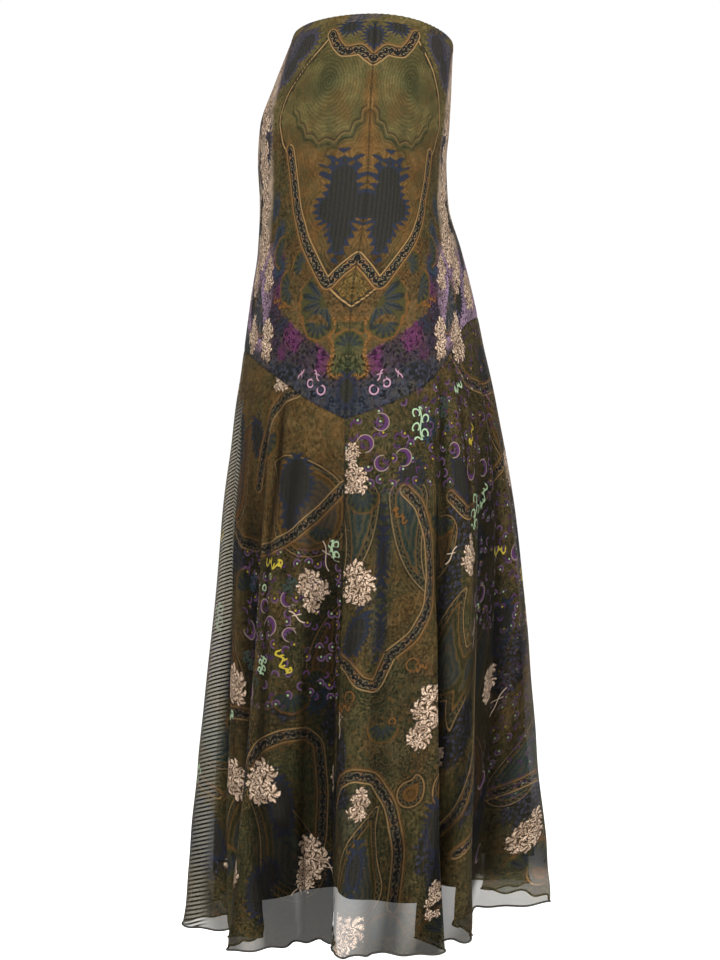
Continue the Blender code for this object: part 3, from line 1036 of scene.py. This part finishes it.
def stem(x, y):
    """A thin bent stalk with a short fork half way."""
    line = abs(y - (x * 2.6).sin() * 0.18).at_least(abs(x) - 0.95)
    fork = abs(y + x * 0.9 - 0.25).at_least(abs(x - 0.1) - 0.3)
    return line.at_most(fork) + 0.02


def open_ring(x, y):
    """Most of a circle's line, open at its foot."""
    return hoop(x, y, 0, 0, 0.8).at_least(-0.5 - y)


def sprig_distance(x, y, kind):
    """Distance to the kind of sprig that stands here, in the order of KINDS."""
    shapes = (crescent(x, y)[0], garland(x, y), curls(x, y), stem(x, y), open_ring(x, y))
    total = 0.0
    for number, shape in enumerate(shapes):
        total = shape * kind.within(float(number), 0.45, 0.04) + total
    return total


def draw_ground(r, cloth):
    """The cloth between the motifs, and the crowds of berries.

    Clouds of two shades, contour lines round every motif, dark veins with pale threads between them, and
    small scattered flowers and commas.
    """
    _, v, busy = r.fields("cloth")
    rings, sprigged, berries = r.fields("contour")
    ground = r.vector("ground")
    wobble = r.noise(cloth, 0.11) - 0.5
    swirl = r.noise(cloth, 0.060)
    contour = (rings + wobble * 2.4).wave(3.7)
    low = v.below(-92.0, 10.0)
    scallop = rings.within(51.0, 0.9, 0.6).at_least(rings.within(57.5, 0.7, 0.6)) * low
    web = abs((swirl * 30.0).sin())
    dense = busy.above(1.1, 0.05)
    plain = busy * (1.0 - dense * 0.85)
    colour = r.lay(
        r.scaled(ground, 0.74),
        (r.scaled(ground, 1.26), r.noise(cloth, 0.035).above(0.5, 0.14)),
        ("rust", r.noise(cloth, 0.027).above(0.57, 0.07) * 0.30),
        ("moss", swirl.below(0.45, 0.07) * 0.4),
        (r.scaled(ground, 0.5), contour.above(0.3, 0.4) * 0.42),
        ("gold", contour.below(-0.8, 0.2) * 0.12),
        ("black", scallop * 0.7),
        ("gold", rings.within(53.0, 0.6, 0.4) * low * 0.35),
        (r.scaled(ground, 0.25), web.below(0.36, 0.2) * (busy * 0.75 + 0.05)),
        (r.mix(ground, "gold", 0.6), web.above(0.93, 0.05) * plain * 0.45),
        ("black", dense * web.below(0.5, 0.2) * 0.5),
        (r.scaled(ground, 1.7), dense * web.above(0.85, 0.1) * 0.6),
    )

    distance, angle, tone, chance = r.scattered(cloth, FLOWER_SPACING)
    petal = distance - (abs((angle * 2.5 + tone * FULL_TURN).sin()) * 3.4 + 2.4)
    here = chance.above(0.35, 0.01)
    colour = r.lay(
        colour,
        (r.mix(ground, "moss", 0.7), petal.below(0.0, 0.5) * here * plain * 0.55),
        ("black", petal.within(0.0, 0.45, 0.4) * here * busy * 0.6),
        ("rust", distance.within(1.6, 0.7, 0.4) * chance.above(0.5, 0.01) * plain * 0.6),
    )
    distance, angle, tone, chance = r.scattered(cloth, COMMA_SPACING)
    bent = (angle + distance * 0.9 + tone * FULL_TURN).sin()
    comma = bent.above(0.35, 0.25) * distance.below(2.9, 0.4)
    colour = r.lay(
        colour,
        (r.scaled(ground, 0.45), comma * chance.above(0.45, 0.01) * busy * 0.75),
        (r.scaled(ground, 1.6), comma * chance.below(0.25, 0.01) * busy * 0.45),
    )
    distance, _, tone, _ = r.scattered(cloth, BERRY_SPACING)
    patch = (berries + wobble * 0.9).below(0.92, 0.12)
    colour = r.lay(
        colour,
        ("black", patch * 0.75),
        (r.mix("indigo", "slate", tone), patch * distance.below(1.75, 0.5)),
    )
    return colour, sprigged, wobble


def draw_paisleys(r, colour, wobble):
    """A lined and beaded rim, rings inside it, a leafy heart; and the thin gold lines of the yoke."""
    drop, way, line = r.fields("drop")
    ink = r.vector("drop_ink")
    inside = drop.below(0.0, 0.5)
    ring = (drop + wobble * 5.0).wave(6.2)
    rim = drop.within(-4.2, 2.3, 0.4)
    beads = abs(drop + 4.2 + way.wave(6.4) * 1.3).below(0.7, 0.4)
    heart = (drop + wobble * 8.0).below(-14.0, 0.6)
    return r.lay(
        colour,
        (ink, inside * 0.7),
        (r.scaled(ink, 0.45), inside * ring.above(0.2, 0.35) * 0.75),
        ("brown", inside * ring.below(-0.75, 0.2) * 0.6),
        ("black", rim * 0.85),
        (r.mix("moss", "gold", 0.3), beads * rim * 0.9),
        ("gold", drop.within(-1.2, 0.5, 0.4) * 0.8),
        ("rust", drop.within(-7.4, 0.45, 0.4) * 0.8),
        ("black", drop.within(0.4, 0.6, 0.5) * 0.5),
        ("indigo", heart * 0.35),
        ("teal", (drop.wave(4.4) * way.wave(7.0)).above(0.25, 0.2) * heart * 0.6),
        ("black", line.below(3.4 + wobble * 9.0, 0.8) * 0.7),
        (INK["gold"] * 1.25, line.below(0.95, 0.35)),
    )


def draw_leaves(r, colour, wobble):
    """Leaves with hooked points, a dark edge, veins and faint stripes; fans of blades on a half round."""
    leaf, x, y = r.fields("leaf")
    ink = r.vector("leaf_ink")
    point = abs((y.math("ARCTAN2", abs(x)) * 6.0 + y * 0.25 + leaf * 0.06).sin())
    edge = leaf + point * 6.0 - 3.0 + wobble * 5.0
    green = r.scaled(r.mix(ink, "deep_olive", 0.65), 0.72)
    heart = leaf.below(-4.0, 0.7)
    vein = abs((wobble * 26.0).sin()).below(0.3, 0.2)
    colour = r.lay(
        colour,
        ("black", edge.below(0.9, 0.5) * 0.5),
        (ink, edge.below(0.0, 0.4)),
        (green, heart * 0.9),
        (r.scaled(ink, 0.8), heart * vein * 0.7),
        (r.scaled(green, 0.55), heart * x.wave(5.0).above(0.3, 0.4) * 0.6),
    )

    x, y, ratio = r.fields("fan")
    angle = x.math("ARCTAN2", y)
    spread = abs(angle).below(1.5, 0.04)
    uneven = ratio + wobble * 0.3
    half = uneven.below(0.98, 0.03) * spread
    blade = abs((angle * 6.2).sin())
    leafy = ratio - 0.3 - blade * 0.55
    blades = leafy.below(0.0, 0.05) * ratio.above(0.22, 0.05) * blade.above(0.4, 0.15) * spread
    return r.lay(
        colour,
        (r.mix("moss", "deep_olive", 0.4), half * 0.75),
        ("rust", uneven.within(1.02, 0.05, 0.03) * spread * 0.8),
        ("blue", blades * 0.6),
        ("black", blades * blade.above(0.9, 0.05) * 0.6),
        ("black", leafy.within(0.02, 0.05, 0.04) * half * 0.6),
    )


def draw_borders(r, colour, wobble):
    """A band between a gold and an orange line, with a running vine of black curls outlined in beige."""
    border, side, way = r.fields("border")
    band = border.below(5.2, 0.4)
    lean = side + wobble * 4.0
    along = way + wobble * 7.0
    place = along.repeat(13.0)
    curl = hoop(place, lean, -3.2, -1.3, 1.7).at_most(hoop(place, lean, 3.2, 1.3, 1.7))
    vine = (abs(lean - along.wave(13.0) * 2.3) * 0.8).at_most(curl)
    return r.lay(
        colour,
        (r.mix("deep_olive", "rust", way.wave(23.0).above(0.2, 0.6)), band * 0.9),
        ("beige", band * vine.below(1.45, 0.3) * 0.5),
        ("black", band * vine.below(0.95, 0.3)),
        ("black", border.within(4.6, 0.6, 0.3) * 0.8),
        ("gold", side.within(5.8, 0.75, 0.35)),
        (r.mix("gold", "rust", 0.6), side.within(-6.4, 0.9, 0.4) * 0.95),
        ("rust", side.within(-8.6, 0.5, 0.4) * 0.6),
    )


def draw_sprigs(r, colour, cloth, sprigged, lit):
    """Arcs and dots of bright ink where the cloth is sprigged; thin curly strokes, crescents with a rim.

    All are weaker where lit is low, in the painted shade of the creases and valleys.
    """
    distance, angle, tone, chance = r.scattered(cloth, ARC_SPACING)
    arc = (angle + tone * 19.0).sin().above(-0.2, 0.1) * sprigged * chance.above(0.3, 0.01)
    bright = r.mix(r.mix("mint", "yellow", tone.above(0.4, 0.01)), "blue", tone.above(0.7, 0.01))
    colour = r.lay(
        colour,
        ("black", arc * distance.below(4.6, 0.6) * 0.5),
        (INK["plum"] * 1.5, arc * distance.within(3.1, 0.8, 0.3) * lit),
        ("mauve", arc * distance.within(4.3, 0.3, 0.3) * tone.below(0.6, 0.01) * lit * 0.8),
        (bright, sprigged * distance.below(1.2, 0.4) * chance.above(0.5, 0.01) * lit * 0.8),
    )

    x, y, ratio = r.fields("sprig")
    kind, size, _ = r.fields("sprig_kind")
    solid = kind.below(0.45, 0.04)
    here = ratio.below(1.12, 0.02)
    half_width = 0.85 - solid * 0.85
    edge = sprig_distance(x, y, kind) * size - half_width
    rim = (crescent(x, y)[1] * size).within(0.0, 0.6, 0.35)
    return r.lay(
        colour,
        ("black", here * edge.below(1.0, 0.6) * 0.65),
        (r.scaled(r.vector("sprig_ink"), solid * 0.5 + 1.15), here * edge.below(0.0, 0.35) * lit),
        ("beige", here * solid * rim * edge.below(0.6, 0.3) * lit * 0.8),
    )


def draw_blossoms(r, colour, cloth, strength, shade):
    """Bunches of curled petals, pale, dusky and brown, uneven at their outline.

    Most of their inks are divided by the strength, so that it doesn't weaken them.
    """
    x, y, ratio = r.fields("bunch")
    petals = abs((y.math("ARCTAN2", x) * 2.5 + ratio * 2.2).sin())
    ragged = r.noise(cloth, 0.30, 1.0) - 0.5
    edge = ratio - petals * 0.46 + ragged * 1.1
    curl = abs((r.noise(cloth, 0.17, 1.0) * 17.0).sin())
    light, dusk = INK["cream"] * 0.60 / strength, linear(152, 124, 102) * 0.24 / strength
    pale = r.lay(
        light,
        (dusk, (petals * 0.45 + curl * 0.55).below(0.76, 0.24)),
        (dusk, r.noise(cloth, 0.08, 1.0).above(0.55, 0.1) * 0.55),
        (INK["brown"] * 0.30 / strength, curl.below(0.30, 0.16) * 0.9),
        (INK["dark_brown"] * 0.6, petals.below(0.34, 0.14) * ratio.above(0.2, 0.1) * 0.9),
    )
    # In the painted shade the pale petals are laid thinner, so that they darken with the cloth.
    return r.lay(
        colour,
        ("black", edge.below(1.08, 0.10) * 0.55),
        (pale, edge.below(0.82, 0.05) * (1.0 - shade * 0.5)),
    )


def cloth_shader(r, colour, height, bump, settings):
    """A dull surface whose knit stands up a little: the bump is its strength and its depth in metres."""
    normal = r.node("ShaderNodeBump", None, {"Strength": bump[0], "Distance": bump[1], "Height": height})
    sockets = {"Base Color": colour, "Normal": normal[0], **settings}
    return r.finish(r.node("ShaderNodeBsdfPrincipled", None, sockets)[0])


def mesh_surface(name, opacity, strength):
    """Fine stretch mesh with the print on it, which shows what lies behind it a little.

    The strength weakens every ink, since the studio's lamps are bright. The trim holds the distance to a
    seam, how sheer the cloth is, and its shade: painted shade above 0, in the creases and valleys where the
    cloth partly lies double, and painted light below 0, where the cloth is also thinner.
    """
    r = Recipe(name)
    cloth = r.combined("MULTIPLY", r.vector("cloth"), (1.0, 1.0, 0.0))
    seam, sheer, shade = r.fields("trim")
    colour, sprigged, wobble = draw_ground(r, cloth)
    colour = draw_paisleys(r, colour, wobble)
    colour = draw_leaves(r, colour, wobble)
    colour = draw_borders(r, colour, wobble)
    # Painted shade darkens the creases and valleys; below 0 the shade paints the front of the hem lighter.
    colour = r.scaled(colour, 1.0 - shade)
    colour = draw_sprigs(r, colour, cloth, sprigged, 1.0 - shade * 0.6)
    colour = draw_blossoms(r, colour, cloth, strength, shade)
    colour = r.mix(colour, "black", seam.below(0.9, 0.7) * 0.55)
    colour = r.scaled(colour, strength)

    # Two layers of the mesh against the light make pale strokes where it is sheer, painted light where the
    # mesh is also a little more open. They slant away from an axis that runs down the strip, and are
    # fainter low on the cloth. Between them the strip is darkened, painted shade of the two layers.
    u, v, _ = r.fields("cloth")
    axis = (v * -0.184 + 109.0).at_most(217.0)
    stroke = (v + abs(u - axis) * 0.22).wave(STROKE_SPACING).above(-0.1, 0.5)
    fringe = stroke * sheer * (1.0 - v.below(-740.0, 90.0) * 0.3)
    colour = r.mix(colour, linear(158, 152, 136) * 0.42, fringe * 0.85)
    colour = r.scaled(colour, 1.0 - (sheer - fringe) * 0.5)
    solid = 1.0 - (1.0 - opacity) * (1.0 - sheer) * (1.0 - shade)
    return cloth_shader(r, colour, u.wave(1.3) * v.wave(1.7), (0.25, 0.0002), {
        "Roughness": 0.8, "Alpha": solid - fringe * 0.3, "Specular IOR Level": 0.02,
    })


def plain_knit(name, colour, roughness=0.85):
    """Plain knit: fine ribs along the cloth, a little uneven in tone."""
    r = Recipe(name)
    place = r.vector("cloth")
    shade = r.mix(colour * 0.85, colour * 1.15, r.noise(place, 0.05, 3.0))
    return cloth_shader(r, shade, r.parts(place)[0].wave(1.4), (0.2, 0.0003), {
        "Roughness": roughness, "Specular IOR Level": 0.1,
    })


# ---------------------------------------------------------------------------------------------------
# Pieces.


def link(name, data):
    """Puts a mesh, a lamp or a camera in the scene."""
    thing = bpy.data.objects.new(name, data)
    bpy.context.scene.collection.objects.link(thing)
    return thing


def surface(name, grid, material, attributes=None, closed=False):
    """A mesh through a grid of points, its faces outward. Closed, its last column joins its first."""
    rows, columns = grid.shape[:2]
    index = np.arange(rows * columns).reshape(rows, columns)
    if closed:
        index = np.concatenate([index, index[:, :1]], axis=1)
    corners = (index[:-1, :-1], index[1:, :-1], index[1:, 1:], index[:-1, 1:])
    faces = np.stack([corner.ravel() for corner in corners], axis=1)
    mesh = bpy.data.meshes.new(name)
    mesh.vertices.add(rows * columns)
    mesh.vertices.foreach_set("co", grid.reshape(-1).astype(np.float32))
    mesh.loops.add(faces.size)
    mesh.loops.foreach_set("vertex_index", faces.ravel().astype(np.int32))
    mesh.polygons.add(len(faces))
    mesh.polygons.foreach_set("loop_start", np.arange(0, faces.size, 4, dtype=np.int32))
    mesh.update(calc_edges=True)
    mesh.shade_smooth()
    for key, values in (attributes or {}).items():
        layer = mesh.attributes.new(key, "FLOAT_VECTOR", "POINT")
        layer.data.foreach_set("vector", np.ascontiguousarray(values, np.float32).ravel())
    mesh.materials.append(material)
    return link(name, mesh)


PANELS = {
    "front": (RIGHT_SEAM, LEFT_SEAM + 360),
    "back": (LEFT_SEAM, RIGHT_SEAM),
}


def seam_dip(to_seam):
    """How far a seam draws the cloth in, in metres, at a distance from it in millimetres."""
    return -0.0006 * np.exp(-to_seam / 2.2)


def build_yoke():
    """The two fitted panels: the form's rows of points, uneven by a hair and drawn in at the seams."""
    for part, (start, end) in PANELS.items():
        angle = spaced_columns(start, end, YOKE_GRID[0])
        grid = yoke_points(angle, np.linspace(0, 1, YOKE_GRID[1]))
        u, v = mirrored_place(grid)
        seam = np.minimum((grid[..., 2] - grid[-1:, :, 2]) * 1000, u)
        lift = 0.0004 * smooth_noise(u / 9, v / 26, 21) + seam_dip(seam)
        grid = grid + outward(grid) * lift[..., None]
        attributes = print_fields(u, v, *yoke_ground(u, v), YOKE_PRINT)
        attributes["trim"] = vectors(seam, 0, 0)
        piece = surface(f"yoke_{part}_cloth", grid, MATERIALS["yoke"], attributes)
        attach(piece, "root")
        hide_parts(f"yoke_{part}")


def hem_wave(u, to_hem):
    """The rolled hem's waves, in metres: how far the cloth swings out and how far its edge rises."""
    fade = np.exp(-to_hem / 14)
    phase = u * (2 * np.pi / 33) + 1.6 * np.sin(u / 61) + 0.8 * np.sin(u / 23)
    size = 0.65 + 0.35 * np.sin(u / 47 + 1)
    return 0.0024 * size * fade * np.sin(phase), 0.0022 * size * fade * np.cos(phase * 0.93)


# Creases of the lower panels: u at the top and at the hem, v at the top and at the lower end, half width
# and depth, all in millimetres.
# The depth also sets the painted shade in each trough; the short creases that end at the hem are there
# mostly for their painted shade.
CREASES = {
    "front": (
        (30, 76, -430, -940, 8, 1.6), (118, 150, -350, -940, 6, 3.4), (6, 12, -430, -700, 7, 1.2),
        (150, 236, -345, -900, 7, 2.4), (178, 300, -345, -930, 8, 2.0), (66, 104, -500, -900, 9, 1.1),
        (214, 340, -340, -780, 7, 1.8), (250, 420, -335, -930, 8, 2.2), (280, 470, -330, -860, 7, 1.5),
        (300, 540, -330, -930, 9, 2.3), (96, 98, -830, -945, 10, 2.0), (138, 140, -780, -945, 9, 2.3),
    ),
    "back": (
        (22, 40, -430, -900, 8, 1.3), (60, 70, -440, -760, 8, 1.5), (86, 100, -362, -955, 6, 3.0),
        (112, 150, -380, -955, 7, 2.2), (150, 220, -370, -900, 8, 1.6), (184, 290, -360, -955, 7, 2.4),
        (210, 360, -350, -820, 8, 1.5), (226, 430, -345, -955, 9, 2.2), (100, 104, -800, -955, 12, 2.6),
        (84, 84, -820, -955, 8, 2.6),
    ),
}
DEEPEST = 1.2  # millimetres that a crease may sink, so that the cloth stays clear of the lining


def creases(u, v, rows):
    """Soft troughs down the cloth, each with a ridge beside it.

    Returns how far the cloth stands out in metres, and the painted shade in each trough, partly for cloth
    that lies double there.
    """
    lift, dark = np.zeros(u.shape), np.zeros(u.shape)
    for top_u, hem_u, top, bottom, half_width, depth in rows:
        way = np.clip((top - v) / (top - bottom), 0, 1)
        off = u - top_u - (hem_u - top_u) * way - 3 * np.sin(v / 37 + top_u)
        fade = step(0.0, 0.12, way) * (1 - 0.6 * way) * (1 - step(0.93, 1.0, way))
        width = half_width * (1 + 0.8 * way)
        trough = np.exp(-(off / width) ** 2)
        ridge = np.exp(-((off + 1.9 * width) / width) ** 2)
        lift += (0.9 * depth * ridge - min(depth, DEEPEST) * trough) * fade / 1000
        # Painted shade in the trough, darker for a deeper crease.
        dark += 0.26 * depth * trough * step(0.0, 0.12, way)
    return lift, np.clip(dark, 0, 0.75)


# The strip at the back edge where two layers of mesh lie against the light: the angles at which it
# begins, and those at which it ends by the share of the way down, in degrees.
STRIP_BEGINS = (184, 190)
STRIP_WAY = (0.1, 0.2, 0.35, 0.5, 0.7, 0.9)
STRIP_ENDS = (200, 202, 198, 195, 192.5, 190.5)


def build_skirt():
    """The two lower panels. Returns the lower edge of each.

    They are the fluted form's rows of points, moved outwards by the sum of the hem's waves, a soft
    unevenness, the dip at the seams and the creases.
    """
    edges = {}
    for part, (start, end) in PANELS.items():
        angle = spaced_columns(start, end, SKIRT_GRID[0])
        share = np.linspace(0, 1, SKIRT_GRID[1])
        grid = skirt_points(angle, share, "crest")
        u, v = mirrored_place(grid)
        along = flat_place(grid)[0]
        to_hem = v - v[-1:]
        to_seam = v[:1] - v
        seam = np.minimum(to_seam, u)
        swing, rise = hem_wave(along, to_hem)
        soft = 0.0011 * smooth_noise(along / 17, v / 90, 31) * step(0, 60, to_seam)
        crease, dark = creases(u, v, CREASES[part])
        grid = grid + outward(grid) * (swing + soft + seam_dip(seam) + crease)[..., None]
        grid[..., 2] += rise
        rows = FRONT_PRINT if part == "front" else BACK_PRINT
        attributes = print_fields(u, v, *lower_ground(u, v, part), rows)
        strip_end = np.interp(share, STRIP_WAY, STRIP_ENDS)[:, None]
        strip = step(*STRIP_BEGINS, angle) * (1 - step(0, 3, angle - strip_end))
        strip = strip * (1 - step(-430, -385, v))
        # Painted shade in the flutes' valleys; at the front of the hem a negative shade paints the cloth
        # lighter, where it is also more sheer. The trim carries both as its shade.
        valley = 0.78 * (1 - step(0.05, 0.6, hang(angle)[1])) * step(0.0, 0.35, share)[:, None]
        thin = 0.75 * step(400, 440, u) * (1 - step(24, 40, to_hem)) * (part == "front")
        attributes["trim"] = vectors(seam, strip, np.maximum(dark, valley) * (1 - thin) - thin)
        piece = surface(f"skirt_{part}_cloth", grid, MATERIALS["skirt"], attributes)
        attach(piece, "root")
        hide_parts(f"skirt_{part}")
        edges[part] = grid[-1]
    return edges


def build_lining():
    """The two lining panels: the form's rows of points, cut off above the hem and set inwards."""
    for part, (start, end) in PANELS.items():
        angle = spaced_columns(start, end, LINING_GRID[0])
        fitted = yoke_points(angle, np.linspace(0, 1, LINING_GRID[1] // 3, endpoint=False))
        last = 1 - LINING_RISE / (yoke_seam_height(hang(angle)[0]) - edge_height(HEM, angle))
        share = np.linspace(0, 1, LINING_GRID[1] - len(fitted))[:, None] * last
        grid = np.concatenate([fitted, skirt_points(angle, share, "lining_crest")])
        way_down = np.concatenate([np.zeros((len(fitted), len(angle))), share])
        inset = LINING_INSET + (LINING_INSET_HEM - LINING_INSET) * way_down
        grid = grid - outward(grid) * inset[..., None]
        u, v = mirrored_place(grid)
        grid[..., 2] += 0.007 * np.sin(u / 29 + 1.2) * way_down**6
        piece = surface(f"lining_{part}_cloth", grid, MATERIALS["lining"], {"cloth": vectors(u, v, 0)})
        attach(piece, "root")
        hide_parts(f"lining_{part}")


def round_corner(wave):
    """A cosine or sine swollen so that its circle becomes a band with round corners."""
    return np.sign(wave) * np.abs(wave) ** 0.45


def level_outward(path):
    """Unit normals of a closed path, level and away from its middle."""
    ahead = np.roll(path, -1, axis=0) - np.roll(path, 1, axis=0)
    out = np.stack([ahead[:, 1], -ahead[:, 0], ahead[:, 2] * 0], axis=-1)
    return out / np.linalg.norm(out, axis=-1, keepdims=True)


HALF_ROUND = 370  # about half the way round the waist, in millimetres


def build_casing():
    """The turned top edge: a round-cornered band, closed round the waist, with the elastic's gathers."""
    angle = spaced_columns(RIGHT_SEAM - 360, RIGHT_SEAM, CASING_GRID[0])[:-1]
    at_seam = hang(angle)[0]
    turn = at_seam + (float(side_seam_turn(WAIST.side)) - SIDE_TURN_TOP) * np.sin(np.radians(at_seam))
    top = edge_height(WAIST, turn)
    corner = np.linspace(0, 2 * np.pi, CASING_GRID[1])
    round_x, round_z = round_corner(np.cos(corner)), round_corner(np.sin(corner))
    rows = []
    for across, up in zip(round_x, round_z):
        ring = on_outline(turn, top - CASING_HEIGHT / 2 + up * CASING_HEIGHT / 2, LEVELS)
        proud = CASING_PROUD + (across - 1) / 2 * CASING_DEPTH
        rows.append(ring + level_outward(ring) * proud)
    grid = np.array(rows)
    along = flat_place(grid)[0]
    gather = 0.00022 * np.sin(along / 1.1 + 1.5 * np.sin(along / 9)) * (round_x > 0)[:, None]
    grid = grid - outward(grid) * gather[..., None]
    u = np.minimum(along % HALF_ROUND, HALF_ROUND - along % HALF_ROUND)
    v = grid[..., 2] * 1000
    ground = tinted(INK["olive"], (step(0.1, 0.5, smooth_noise(along / 13, v / 6, 5)), "navy"))
    none = np.zeros(u.shape)
    attributes = print_fields(u, v, ground, none, none + 0.7, none, Print())
    attributes["trim"] = vectors(none + 20, 0, 0)
    piece = surface("casing_band", grid, MATERIALS["casing"], attributes, closed=True)
    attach(piece, "root")
    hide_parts("waist_casing")


def tube(name, path, radius, material, sides=8):
    """A round cord of thread along a closed path."""
    ahead = np.roll(path, -1, axis=0) - np.roll(path, 1, axis=0)
    ahead /= np.linalg.norm(ahead, axis=-1, keepdims=True)
    out = level_outward(path)
    up = np.cross(out, ahead)
    turn = np.linspace(0, 2 * np.pi, sides + 1)[:, None, None]
    grid = path + (out * np.cos(turn) + up * np.sin(turn)) * radius
    along = np.concatenate([[0], np.cumsum(np.linalg.norm(np.diff(path, axis=0), axis=-1))]) * 1000
    return surface(name, grid, material, {"cloth": vectors(along, grid[..., 2] * 1000, 0)}, closed=True)


def build_hem(edges):
    """The rolled hem's dark thread, all round the lower edge."""
    path = np.concatenate([edges["front"][:-1], edges["back"][:-1]])
    hem = tube("rolled_hem", path, 0.0011, MATERIALS["thread"])
    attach(hem, "root")


# ---------------------------------------------------------------------------------------------------
# The studio.

FLOOR_HEIGHT = -1.12
FLOOR_HALF = 30.0
SKY_STRENGTH = 1.03
# Lamps: place, what they point at, size in metres, power in watts.
LAMPS = {
    "key": ((-2.4, 1.0, 1.1), (0, 0, -0.45), 1.0, 190),
    "front": ((-1.6, -2.0, 0.5), (0, 0, -0.2), 0.8, 106),
}
CAMERA_PLACE = (-2.4, 0.014, -0.483)  # level with the skirt's middle, on the wearer's right
CAMERA_LENS = 81.8


def add_floor():
    h, z = FLOOR_HALF, FLOOR_HEIGHT
    mesh = bpy.data.meshes.new("studio_floor")
    mesh.from_pydata([(-h, -h, z), (h, -h, z), (h, h, z), (-h, h, z)], [], [(0, 1, 2, 3)])
    r = Recipe("studio_paper")
    shader = r.node("ShaderNodeBsdfPrincipled", None, {
        "Base Color": (0.98, 0.98, 0.98, 1), "Roughness": 1.0, "Specular IOR Level": 0.0,
    })
    mesh.materials.append(r.finish(shader[0]))
    link("studio_floor", mesh)


def add_lamp(name, place, target, size, power):
    light = bpy.data.lights.new(name, "AREA")
    light.shape = "DISK"
    light.size = size
    light.energy = power
    lamp = link(name, light)
    lamp.location = place
    lamp.rotation_euler = (Vector(target) - Vector(place)).to_track_quat("-Z", "Y").to_euler()


def add_studio():
    scene = bpy.context.scene
    scene.world = bpy.data.worlds.new("studio")
    scene.world.use_nodes = True
    sky = scene.world.node_tree.nodes["Background"].inputs
    sky["Color"].default_value = (1, 1, 1, 1)
    sky["Strength"].default_value = SKY_STRENGTH
    scene.view_settings.view_transform = "Standard"
    for name, lamp in LAMPS.items():
        add_lamp(name, *lamp)
    camera = bpy.data.cameras.new("camera")
    camera.lens = CAMERA_LENS
    camera.sensor_width = 36
    scene.camera = link("camera", camera)
    scene.camera.location = CAMERA_PLACE
    scene.camera.rotation_euler = (math.pi / 2, 0, -math.pi / 2)


MATERIALS = {
    "yoke": mesh_surface("printed_yoke_mesh", 0.90, 0.40),
    "skirt": mesh_surface("printed_skirt_mesh", 0.82, 0.35),
    "casing": mesh_surface("casing_mesh_double", 1.0, 0.38),
    "lining": plain_knit("lining_knit_olive", linear(36, 34, 24)),
    "thread": plain_knit("hem_thread", linear(38, 36, 32), 0.7),
}

build_yoke()
build_hem(build_skirt())
build_lining()
build_casing()
add_floor()
add_studio()
